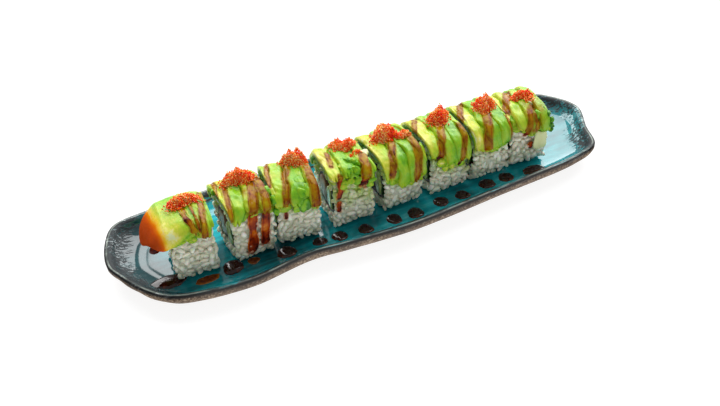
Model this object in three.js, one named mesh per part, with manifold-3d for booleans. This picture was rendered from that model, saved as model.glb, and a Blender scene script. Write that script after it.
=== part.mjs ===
import * as THREE from 'three';
import { mergeVertices } from 'three/addons/utils/BufferGeometryUtils.js';
import Module from 'manifold-3d';

// An uramaki roll cut into eight pieces, in a row on its long stoneware plate.
// Each piece is a rice block round a seaweed ring, with a cooked filling and a cucumber stick
// running through it, slices of avocado draped over the top and a mound of roe on those.
// Millimetres. +X runs along the plate, +Y to its back edge and +Z up.
// The origin is on the table, under the middle of the plate's box.

const wasm = await Module();
wasm.setup();

// Clear space left between two pieces that rest on each other.
const GAP = 0.35;

// The plate: a shallow slab of stoneware with a turned-up rim.
const PLATE = {
  floor: 7,            // height of the inner floor over the table
  rim: 15,             // height of the rim's crest
  ripple: 0.35,        // how much the handmade rim rises and falls
  spine: 122,          // half length of the line that the plate's rings shrink towards
  footShare: 0.6,      // the flat foot's share of the distance from spine to rim
  endSlope: 1.9,       // how much wider the slope up to the rim is at the two ends
  segments: 64,
};

// The plate's outline seen from above, as the handmade edge wanders: the left end, the near edge,
// the right end and the far edge.
const PLATE_EDGE = [
  [-171.5, 7], [-167.5, -5], [-155.5, -27], [-143, -39],
  [-123, -45], [-93, -48], [-54, -43], [-30, -45.5], [13, -49], [80, -45], [142, -40],
  [158, -34], [165, -14], [173.5, 10], [165, 29], [153, 40],
  [60, 45], [-30, 48], [-96, 49.5], [-136, 48], [-158, 44], [-167, 30],
];

// One cut piece of the roll, in its own frame: x from the middle of its thickness, y from its centre line.
const SLICE = {
  thick: 27,           // length of a piece along the roll
  halfDeep: 18.8,      // half the rice block's depth
  waist: 20,           // height at which the block is deepest
  square: 3.8,         // how square the upper half of the section is: 2 is an ellipse
  squareBase: 6,       // the same for the lower half, which stands on the plate
  baseTaper: 0.15,     // how much narrower the block is at the plate
  endInset: 0.93,      // how far the block's cut edges are rounded over
  row: -7,             // the row's centre line on the plate
};

// Hollows between the grains on the rice: their depth, and how many points go round and along a block.
const GRAIN = { relief: 0.95, stations: 30, rows: 5 };

// How far behind the cut the tunnel's mouth lies, and how near it the cut face's ring of points runs.
const CUT_FACE = { mouth: 1.2, ring: 0.48 };

// The seaweed ring and what it holds, as rounded sections: [y, z, half width, half height].
const TUNNEL = [-1, 20, 12.9, 12.9];
const SEAWEED = { thick: 0.75, stations: 16, recess: 0.4, clear: 0.6 };
const CUCUMBER = { section: [-7, 19.5, 3.8, 8.9], recess: 0.3 };
const FILLING = { section: [4, 20.5, 6.2, 9.2], recess: 0.7 };
const STICK_STATIONS = 12;

// Avocado slices laid side by side over the top, leaning to the right as they come forward.
const AVOCADO = {
  lift: 0.9,           // space over the rice, which the grains' bumps fill
  thin: 2.3,           // thickness in the grooves between slices
  thick: 4.1,          // thickness in the middle of a slice
  across: 8.6,         // width of one slice
  overhang: 0.8,       // how far the slices stand past the cuts
  backHang: 30,        // height of the slices' lower ends at the back
  tip: 0.1,            // share of a slice's run over which its ends grow thin
  tipThick: 0.55,      // thickness left at the ends
  columns: 9,
  steps: 9,
};

// The first piece's outer slice slides off over the cut: how steeply it drops, and where its free edge
// begins and ends round the section.
const WING = {
  drop: 1.15,
  columns: 4,
  backAngle: THREE.MathUtils.degToRad(62),
  frontAngle: THREE.MathUtils.degToRad(104),
};

// Sauce trails: each is a low ridge over the avocado.
const TRAIL = { wide: 3.2, proud: 0.7 };

const ROE = { sink: 2.2, relief: 0.8, stations: 13 };

// Left to right: the left cut's place along the plate, the turn on the plate in degrees, the rice's height,
// the height of the slices' front ends at the left, middle and right, how far they lean in their run,
// the roe mound's place, half sizes and height, and the trails' places across the top.
const ROLLS = [
  { left: -134, turn: -4, tall: 40, hang: [32, 33, 37], lean: 7, wing: 13.5,
    roe: [14.5, 4, 9.8, 6.5, 6.8], trails: [11, 20] },
  { left: -98, turn: 3, tall: 41, hang: [36, 36, 35], lean: 8, wing: 0,
    roe: [15, 8, 10, 7.5, 8.5], trails: [6, 17, 24] },
  { left: -66.5, turn: -5, tall: 41, hang: [34, 32, 29], lean: 6, wing: 0,
    roe: [20, 9.5, 8, 6.5, 8], trails: [8, 23] },
  { left: -30, turn: -2, tall: 40.5, hang: [38, 37, 33], lean: 6, wing: 0,
    roe: [16.8, 10, 9.4, 5.6, 6], trails: [5, 22] },
  { left: 3, turn: 4, tall: 40.5, hang: [31, 21.5, 22.5], lean: 8, wing: 0,
    roe: [13.8, 4.5, 14, 7.4, 8.5], trails: [7, 22] },
  { left: 36.5, turn: 3, tall: 40.5, hang: [36, 26, 25], lean: 8, wing: 0,
    roe: [18.5, 4.5, 8.5, 6.8, 8], trails: [4, 13, 23] },
  { left: 68.5, turn: 1, tall: 40.5, hang: [30, 26, 29], lean: 7, wing: 0,
    roe: [18.5, 2.5, 7.2, 7.6, 8], trails: [6, 13, 23] },
  { left: 98.7, turn: -4, tall: 38.8, hang: [37, 27, 26], lean: 6, wing: 0,
    roe: [16.8, 2, 7, 4.8, 5], trails: [8, 19, 24] },
];

// Pools of sauce on the plate in front of the pieces: [x, y, half length, half width, height].
const POOLS = [
  [-141, -17, 12, 6.2, 2.2], [-101, -23.5, 6.4, 6.5, 2.6], [-66, -26.5, 6.4, 5.6, 2],
  [-31, -29, 5.4, 5.5, 1.8], [-13.5, -31, 4.8, 5.6, 1.9], [21.5, -32.5, 5.6, 6, 2.2],
  [41.5, -30, 5, 5.6, 2], [57, -31, 4.8, 5.2, 1.9], [77, -28.5, 5.4, 5.4, 2], [111.5, -31.5, 8, 6, 2.4],
];

const finish = (color, roughness, metalness = 0) => (
  new THREE.MeshStandardMaterial({ color, roughness, metalness })
);
const MATERIALS = {
  glaze: finish(0x1f7f8c, 0.12),
  rice: finish(0xdfe0d4, 0.45),
  seaweed: finish(0x15201a, 0.5),
  cucumber: finish(0x9fc24a, 0.35),
  filling: finish(0x7a4a2c, 0.5),
  avocado: finish(0x97c223, 0.3),
  roe: finish(0xe04a14, 0.25),
  sauce: finish(0x3a100a, 0.12),
};

// A repeatable random number from 0 to 1 for each whole number.
function chance(seed) {
  let t = (seed + 1) * 0x6d2b79f5;
  t = Math.imul(t ^ (t >>> 15), t | 1);
  t ^= t + Math.imul(t ^ (t >>> 7), t | 61);
  return ((t ^ (t >>> 14)) >>> 0) / 4294967296;
}

const lerp = THREE.MathUtils.lerp;
const clamp = THREE.MathUtils.clamp;

function enclosedVolume(geometry) {
  const p = geometry.attributes.position;
  const index = geometry.index;
  const corners = [new THREE.Vector3(), new THREE.Vector3(), new THREE.Vector3()];
  let sum = 0;
  for (let i = 0; i < index.count; i += 3) {
    corners.forEach((corner, k) => corner.fromBufferAttribute(p, index.getX(i + k)));
    sum += corners[0].dot(corners[1].clone().cross(corners[2])) / 6;
  }
  return sum;
}

function solidFrom(points, faces) {
  const geometry = new THREE.BufferGeometry();
  geometry.setAttribute('position', new THREE.Float32BufferAttribute(points.flatMap((p) => p.toArray()), 3));
  geometry.setIndex(faces.flat());
  if (enclosedVolume(geometry) < 0) {
    geometry.setIndex(faces.flatMap(([a, b, c]) => [a, c, b]));
  }
  return geometry;
}

// A closed body through a list of rings that all have the same number of points.
// ends: 'joined' runs the last ring into the first, 'peaked' closes each end on its middle point,
// 'flat' fills each end as a polygon, and 'folded' closes each end of a ring that is a thin strip.
function loft(rings, ends) {
  const n = rings[0].length;
  const points = rings.flat();
  const faces = [];
  const runs = ends === 'joined' ? rings.length : rings.length - 1;
  for (let r = 0; r < runs; r += 1) {
    const next = (r + 1) % rings.length;
    for (let k = 0; k < n; k += 1) {
      const after = (k + 1) % n;
      faces.push([r * n + k, r * n + after, next * n + after]);
      faces.push([r * n + k, next * n + after, next * n + k]);
    }
  }
  const ringEnds = ends === 'joined' ? [] : [[0, true], [(rings.length - 1) * n, false]];
  for (const [start, reversed] of ringEnds) {
    const caps = endFaces(points, start, n, ends);
    faces.push(...caps.map(([a, b, c]) => (reversed ? [a, c, b] : [a, b, c])));
  }
  return solidFrom(points, faces);
}

function endFaces(points, start, n, ends) {
  const faces = [];
  if (ends === 'peaked') {
    const middle = new THREE.Vector3();
    for (let k = 0; k < n; k += 1) middle.addScaledVector(points[start + k], 1 / n);
    points.push(middle);
    for (let k = 0; k < n; k += 1) faces.push([start + k, start + ((k + 1) % n), points.length - 1]);
  } else if (ends === 'flat') {
    const outline = points.slice(start, start + n).map((p) => new THREE.Vector2(p.x, p.y));
    for (const [a, b, c] of THREE.ShapeUtils.triangulateShape(outline, [])) {
      faces.push([start + a, start + b, start + c]);
    }
  } else {
    for (let k = 0; k < n / 2 - 1; k += 1) {
      const [a, b, c, d] = [k, k + 1, n - 2 - k, n - 1 - k].map((i) => start + i);
      faces.push([a, b, c], [a, c, d]);
    }
  }
  return faces;
}

function toManifold(geometry) {
  const merged = mergeVertices(geometry, 1e-5);
  return new wasm.Manifold(new wasm.Mesh({
    numProp: 3,
    vertProperties: new Float32Array(merged.attributes.position.array),
    triVerts: new Uint32Array(merged.index.array),
  }));
}

// What is left of one body once another is taken away. Loose scraps are dropped.
function cutAway(body, tool) {
  const pieces = toManifold(body).subtract(toManifold(tool)).decompose();
  pieces.sort((a, b) => b.volume() - a.volume());
  const mesh = pieces[0].getMesh();
  const geometry = new THREE.BufferGeometry();
  geometry.setAttribute('position', new THREE.BufferAttribute(new Float32Array(mesh.vertProperties), 3));
  geometry.setIndex(new THREE.BufferAttribute(new Uint32Array(mesh.triVerts), 1));
  return geometry;
}

// The plate's rings, from the foot round the rim to the floor: each is the outline drawn in towards the
// spine to a share of its distance, at a height. lift raises the upper face alone.
function plateRings(lift) {
  const edge = new THREE.CatmullRomCurve3(
    PLATE_EDGE.map(([x, y]) => new THREE.Vector3(x, y, 0)), true, 'centripetal',
  ).getSpacedPoints(PLATE.segments).slice(0, PLATE.segments);
  const { floor, rim, ripple, spine, footShare } = PLATE;
  const rise = rim - floor;
  const underside = [[footShare, 0], [footShare + 0.02, 0.8], [0.85, 3.2], [0.965, 8.4], [1, rim - 3.4]];
  const topside = [
    [1, rim - 0.6], [0.985, rim], [0.96, rim - 0.5], [0.925, floor + 0.5 * rise],
    [0.88, floor + 0.2 * rise], [0.82, floor + 0.04 * rise], [0.74, floor],
  ];
  const ring = (share, z, endSlope) => edge.map((p, k) => {
    const core = new THREE.Vector3(clamp(p.x, -spine, spine), 0, 0);
    const atEnd = clamp((Math.abs(p.x) - spine) / (p.length() - spine), 0, 1);
    const drawn = 1 - (1 - share) * lerp(1, endSlope, atEnd);
    const wave = z > rim - 4 ? ripple * (Math.sin(k * 1.7) + Math.sin(k * 0.6)) / 2 : 0;
    return core.lerp(p, drawn).setZ(z + wave);
  });
  return [
    ...underside.map(([share, z]) => ring(share, z, 1)),
    ...topside.map(([share, z]) => ring(share, z + lift, PLATE.endSlope)),
  ];
}

function plateBody() {
  return loft(plateRings(0), 'flat');
}

// A point on a rounded-square section, at a polar angle: 0 is the back, 90 the top and 180 the front.
function sectionPoint(angle, tall, grow) {
  const { halfDeep, waist, squareBase, baseTaper } = SLICE;
  const c = Math.cos(angle);
  const s = Math.sin(angle);
  const high = s > 0 ? tall - waist : waist;
  const square = s > 0 ? SLICE.square : squareBase;
  const reach = (Math.abs(c) / halfDeep) ** square + (Math.abs(s) / high) ** square;
  const radius = reach ** (-1 / square);
  const stretch = (radius + grow) / radius;
  const z = waist + radius * s * stretch;
  const below = clamp((waist - z) / waist, 0, 1);
  return new THREE.Vector2(radius * c * stretch * (1 - baseTaper * below * below), z);
}

// The angle at which the upper part of the section has the height z: on the front, or mirrored on the back.
function angleAtHeight(z, tall, front) {
  const { halfDeep, waist, square } = SLICE;
  const up = clamp((z - waist) / (tall - waist), 0, 1);
  const y = halfDeep * (1 - up ** square) ** (1 / square);
  const angle = Math.atan2(z - waist, y);
  return front ? Math.PI - angle : angle;
}

function roundedSection([y, z, halfWide, halfHigh], stations, inset) {
  const power = 3;
  return Array.from({ length: stations }, (_, k) => {
    const angle = (k / stations) * 2 * Math.PI;
    const [a, b] = [halfWide - inset, halfHigh - inset];
    const reach = (Math.abs(Math.cos(angle)) / a) ** power + (Math.abs(Math.sin(angle)) / b) ** power;
    const radius = reach ** (-1 / power);
    return new THREE.Vector2(y + radius * Math.cos(angle), z + radius * Math.sin(angle));
  });
}

const placeRing = (section, x) => section.map((p) => new THREE.Vector3(x, p.x, p.y));

// The rice block: grain-sized hollows all over the outside, and a tunnel for the seaweed ring.
function riceBody(roll, number) {
  const half = SLICE.thick / 2;
  const { stations, rows, relief } = GRAIN;
  const angles = Array.from({ length: stations }, (_, k) => (k / stations) * 2 * Math.PI);
  const middle = new THREE.Vector2(0, SLICE.waist);
  const outside = (x, share, row) => angles.map((angle, k) => {
    const dent = relief * chance(number * 997 + row * 101 + k);
    const p = sectionPoint(angle, roll.tall, 0);
    const away = p.clone().sub(middle).setLength(1);
    p.sub(middle).multiplyScalar(share).add(middle).addScaledVector(away, -dent);
    return new THREE.Vector3(x, p.x, p.y);
  });
  const tunnel = roundedSection(TUNNEL, stations, 0);
  const faceRing = (x, row) => angles.map((angle, k) => {
    const p = sectionPoint(angle, roll.tall, 0).lerp(tunnel[k], CUT_FACE.ring);
    return new THREE.Vector3(x - Math.sign(x) * relief * chance(number * 499 + row * 89 + k), p.x, p.y);
  });
  const mouth = half - CUT_FACE.mouth;
  const rings = [placeRing(tunnel, mouth), placeRing(tunnel, -mouth), faceRing(-half, 1)];
  for (let row = 0; row <= rows; row += 1) {
    const x = lerp(-half + 1, half - 1, row / rows);
    const share = row === 0 || row === rows ? SLICE.endInset : 1;
    rings.push(outside(x, share, row));
  }
  rings.push(faceRing(half, 2));
  return loft(rings, 'joined');
}

function seaweedBody() {
  const half = SLICE.thick / 2 - CUT_FACE.mouth - SEAWEED.recess;
  const outer = roundedSection(TUNNEL, SEAWEED.stations, SEAWEED.clear);
  const inner = roundedSection(TUNNEL, SEAWEED.stations, SEAWEED.clear + SEAWEED.thick);
  return loft([
    placeRing(outer, -half), placeRing(outer, half), placeRing(inner, half), placeRing(inner, -half),
  ], 'joined');
}

function stickBody({ section, recess }) {
  const half = SLICE.thick / 2 - recess;
  const outline = roundedSection(section, STICK_STATIONS, 0);
  return loft([placeRing(outline, -half), placeRing(outline, half)], 'peaked');
}

// Thickness of the avocado at a place across the piece and a share of the way from back to front.
function avocadoThickness(roll, x, forward) {
  const across = x - roll.lean * (forward - 0.5);
  const phase = across / AVOCADO.across + 40;
  const inSlice = 2 * (phase - Math.floor(phase)) - 1;
  const slice = lerp(AVOCADO.thin, AVOCADO.thick, Math.sqrt(1 - inSlice ** 4));
  const trail = roll.trails.reduce((sum, place) => {
    const off = (across - (place - SLICE.thick / 2)) / (TRAIL.wide / 2);
    return sum + (Math.abs(off) < 1 ? TRAIL.proud * (1 - off * off) : 0);
  }, 0);
  return slice + trail;
}

// Height of the slices' front ends across the piece, read between the left, middle and right values.
function hangAt(roll, share) {
  const at = clamp(share, 0, 1) * 2;
  const step = Math.min(Math.floor(at), 1);
  return lerp(roll.hang[step], roll.hang[step + 1], at - step);
}

// The draped slices. extra thickens them outwards, to cut clear space out of what lies on top.
function avocadoBody(roll, extra) {
  const { columns, steps, overhang, lift, backHang, tip, tipThick } = AVOCADO;
  const half = SLICE.thick / 2 + overhang;
  const wingColumns = roll.wing > 0 ? WING.columns : 0;
  const rings = [];
  for (let c = -wingColumns; c <= columns; c += 1) {
    const x = lerp(-half, half, Math.max(c, 0) / columns);
    const out = c < 0 ? -c / wingColumns : 0;
    const narrowing = out ** 1.6;
    const front = lerp(angleAtHeight(hangAt(roll, c / columns), roll.tall, true), WING.frontAngle, narrowing);
    const back = lerp(angleAtHeight(backHang, roll.tall, false), WING.backAngle, narrowing);
    const ring = [];
    for (const side of [1, 0]) {
      for (let s = 0; s <= steps; s += 1) {
        const forward = side === 1 ? s / steps : 1 - s / steps;
        const angle = lerp(back, front, forward);
        const inward = Math.min(forward, 1 - forward, tip) / tip;
        const thick = avocadoThickness(roll, x, forward) * lerp(tipThick, 1, inward) + extra;
        const p = sectionPoint(angle, roll.tall, side === 1 ? lift + thick : lift);
        ring.push(wingPoint(roll, x, p, out));
      }
    }
    rings.push(ring);
  }
  return loft(rings, 'folded');
}

// The first piece's outer slice slides off over its left cut: out is 0 at the cut and 1 at the slice's edge.
function wingPoint(roll, x, p, out) {
  return new THREE.Vector3(x - roll.wing * out, p.x, p.y - WING.drop * roll.wing * out ** 1.4);
}

// A mound of roe on the avocado, with bumps about as large as its clusters.
function roeBody(roll, number) {
  const [x, y, halfWide, halfDeep, rise] = roll.roe;
  const base = roll.tall + AVOCADO.lift + AVOCADO.thick - ROE.sink;
  const high = rise + ROE.sink;
  const profile = [[0.94, 0], [1, 0.3], [0.9, 0.6], [0.62, 0.86], [0.28, 1]];
  const rings = profile.map(([share, up], row) => Array.from({ length: ROE.stations }, (_, k) => {
    const angle = (k / ROE.stations) * 2 * Math.PI;
    const wander = 1 + 0.16 * Math.sin(2 * angle + number) + 0.1 * Math.sin(3 * angle + 2 * number);
    const bump = ROE.relief * (chance(number * 331 + row * 71 + k) - 0.5);
    return new THREE.Vector3(
      x - SLICE.thick / 2 + (halfWide * share * wander + bump) * Math.cos(angle),
      y + (halfDeep * share * wander + bump) * Math.sin(angle),
      base + high * up + (row > 0 ? bump : 0),
    );
  }));
  return cutAway(loft(rings, 'peaked'), avocadoBody(roll, GAP));
}

function poolBody([x, y, halfLong, halfWide, high], number) {
  const stations = 10;
  const foot = PLATE.floor - 1;
  const profile = [[1, foot], [1, PLATE.floor + 0.3 * high], [0.82, PLATE.floor + 0.8 * high]];
  const rings = profile.map(([share, z]) => Array.from({ length: stations }, (_, k) => {
    const angle = (k / stations) * 2 * Math.PI;
    const wander = 1 + 0.08 * Math.sin(2 * angle + number) + 0.06 * Math.sin(3 * angle - number);
    return new THREE.Vector3(
      x + halfLong * share * wander * Math.cos(angle), y + halfWide * share * wander * Math.sin(angle), z,
    );
  }));
  const middle = new THREE.Vector3(x, y, 0);
  const crown = rings[2].map((p) => middle.clone().lerp(p, 0.45).setZ(PLATE.floor + high));
  return cutAway(loft([...rings, crown], 'peaked'), loft(plateRings(GAP), 'flat'));
}

function named(name, geometry, material) {
  const mesh = new THREE.Mesh(geometry, material);
  mesh.name = name;
  return mesh;
}

function rollPiece(roll, number) {
  const piece = new THREE.Group();
  piece.position.set(roll.left + SLICE.thick / 2, SLICE.row, PLATE.floor + GAP);
  piece.rotation.z = THREE.MathUtils.degToRad(roll.turn);
  piece.add(
    named(`rice_${number}`, riceBody(roll, number), MATERIALS.rice),
    named(`seaweed_${number}`, seaweedBody(), MATERIALS.seaweed),
    named(`cucumber_${number}`, stickBody(CUCUMBER), MATERIALS.cucumber),
    named(`filling_${number}`, stickBody(FILLING), MATERIALS.filling),
    named(`avocado_${number}`, avocadoBody(roll, 0), MATERIALS.avocado),
    named(`roe_${number}`, roeBody(roll, number), MATERIALS.roe),
  );
  return piece;
}

const platter = new THREE.Group();
platter.add(named('plate', plateBody(), MATERIALS.glaze));
ROLLS.forEach((roll, i) => platter.add(rollPiece(roll, i + 1)));
POOLS.forEach((pool, i) => platter.add(named(`sauce_pool_${i + 1}`, poolBody(pool, i + 1), MATERIALS.sauce)));

// The origin goes under the middle of the plate's own box.
const middle = new THREE.Box3().setFromObject(platter).getCenter(new THREE.Vector3());
platter.position.set(-middle.x, -middle.y, 0);

export default platter;
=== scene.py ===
"""The look of an uramaki roll cut into eight pieces, in a row on its long stoneware plate.

Lengths are in millimetres up to the point where a mesh is made, which takes metres. Each roll piece has
its own frame, as in the model: x from the middle of its thickness, y from its centre line, z from its foot.
"""

import functools
import math

import bmesh
import bpy
import numpy as np
from mathutils import Matrix, Vector

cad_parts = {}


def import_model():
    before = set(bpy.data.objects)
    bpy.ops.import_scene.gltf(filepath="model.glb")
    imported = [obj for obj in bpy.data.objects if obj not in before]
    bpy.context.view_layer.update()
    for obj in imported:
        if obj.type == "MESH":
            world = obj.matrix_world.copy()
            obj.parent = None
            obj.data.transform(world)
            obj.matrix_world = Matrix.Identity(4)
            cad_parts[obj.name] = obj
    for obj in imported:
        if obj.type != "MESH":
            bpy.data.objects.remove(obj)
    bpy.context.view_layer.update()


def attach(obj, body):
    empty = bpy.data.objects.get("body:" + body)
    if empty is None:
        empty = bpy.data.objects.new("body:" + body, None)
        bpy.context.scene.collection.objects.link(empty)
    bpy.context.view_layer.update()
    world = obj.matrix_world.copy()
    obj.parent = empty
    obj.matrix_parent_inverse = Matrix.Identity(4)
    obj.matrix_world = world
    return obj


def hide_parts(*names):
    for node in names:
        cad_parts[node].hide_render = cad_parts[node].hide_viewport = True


MM = 0.001

# The model's origin is under the middle of the plate's box, which lies here in the plate's own frame.
ORIGIN = np.array([0.69, 0.26, 0.0])

# The camera, fitted to the edges of the pieces and the plate in the photograph.
CAMERA = {"place": (-203.5, -486.4, 435.8), "azimuth": 22.3, "elevation": 39.5, "roll": 4.3, "lens": 51.25}

# foot: how far the foot reaches, in hundredths of the way from the spine to the edge. slope: how much wider
# the upper face's slope is made. ends: between these distances from the middle the glaze turns dark.
PLATE = {
    "floor": 7.0,
    "rim": 15.0,
    "ripple": 0.175,
    "rim_dip": 0.12,
    "side_wobble": 0.00132,
    "spine": 122.0,
    "ends": (114, 156),
    "foot": 60.0,
    "slope": 1.9,
    "stations": 640,
}
PLATE_EDGE = [
    (-171.5, 7), (-167.5, -5), (-155.5, -27), (-143, -39),
    (-123, -45), (-93, -48), (-54, -43), (-30, -45.5), (13, -49), (80, -45), (142, -40),
    (158, -34), (165, -14), (173.5, 10), (165, 29), (153, 40),
    (60, 45), (-30, 48), (-96, 49.5), (-136, 48), (-158, 44), (-167, 30),
]

# The section and thickness of one cut piece.
THICK = 27.0
HALF = THICK / 2
HALF_DEEP = 18.8
WAIST = 20.0
SQUARE = 3.8
SQUARE_BASE = 6.0
BASE_TAPER = 0.15
ROW = -7.0
GAP = 0.35
OVAL_SQUARE = 3.0

# Millimetres along the outside for each radian of the section's angle.
ARC = 22

# What runs through a piece: the middle's depth and height, and half the width and height.
TUNNEL = (-1.0, 20.0, 12.9, 12.9)
CUCUMBER = (-7.0, 19.5, 3.8, 8.9)
FILLING = (4.0, 20.5, 6.2, 9.2)

# least and most: a grain's smallest and largest shares of the full length, width and thickness.
GRAIN = {
    "long": 5.6, "wide": 3.25, "thick": 2.7, "bend": 0.35, "rings": 8, "sides": 10, "reach": 1.35,
    "tilt": 0.34, "least": (0.62, 0.74, 0.8), "most": (1.2, 1.15, 1.12),
}
# Each layer of grains: how deep it lies, the least gap, the most grains and the number of places tried.
RICE_LAYERS = ((1.25, 2.3, 560, 6000), (2.2, 1.9, 240, 2400))
# The share of those places that are on the outside, where the rest are on the cuts.
OUTER_SHARE = 0.55

# Where the pressed rice behind the grains and the seaweed end, short of each cut.
CORE_END = HALF - 1.6

AVOCADO = {"lift": 0.9, "overhang": 0.8, "back": 30.0, "bed": 1.3, "thick": 2.5, "tilt": 0.9}
COVER_END = HALF + AVOCADO["overhang"]
WING = {
    "reach": 14.6, "drop": 1.12, "inner": 25.0, "thick": 3.4, "cover": 4.3, "back": math.radians(62),
    "front": math.radians(104),
}
MASH = {"front": 9, "back": 5, "size": (1.6, 2.8), "thick": 0.6}
DRIP = {"place": (-22.3, -8.0, 24.4), "half_size": (3.4, 2.2, 2.4)}
ROE = {"bead": 1.0, "gap": 0.86, "tries": 9000, "most": 900}

# Each light's place, target and size in metres, and its radiance.
LIGHTS = {
    "softbox": ((1.47, 1.23, 1.6), (0, 0, 0.02), (2.6, 2.6), 4.8),
    "card": ((-0.41, 1.9, 1.6), (-0.14, 0, 0.02), (1.16, 2.0), 5.2),
    "lamp": ((-0.092, 0.652, 0.611), (-0.15, 0, 0.01), (0.014, 0.014), 60),
}
SKY = 0.44

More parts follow.
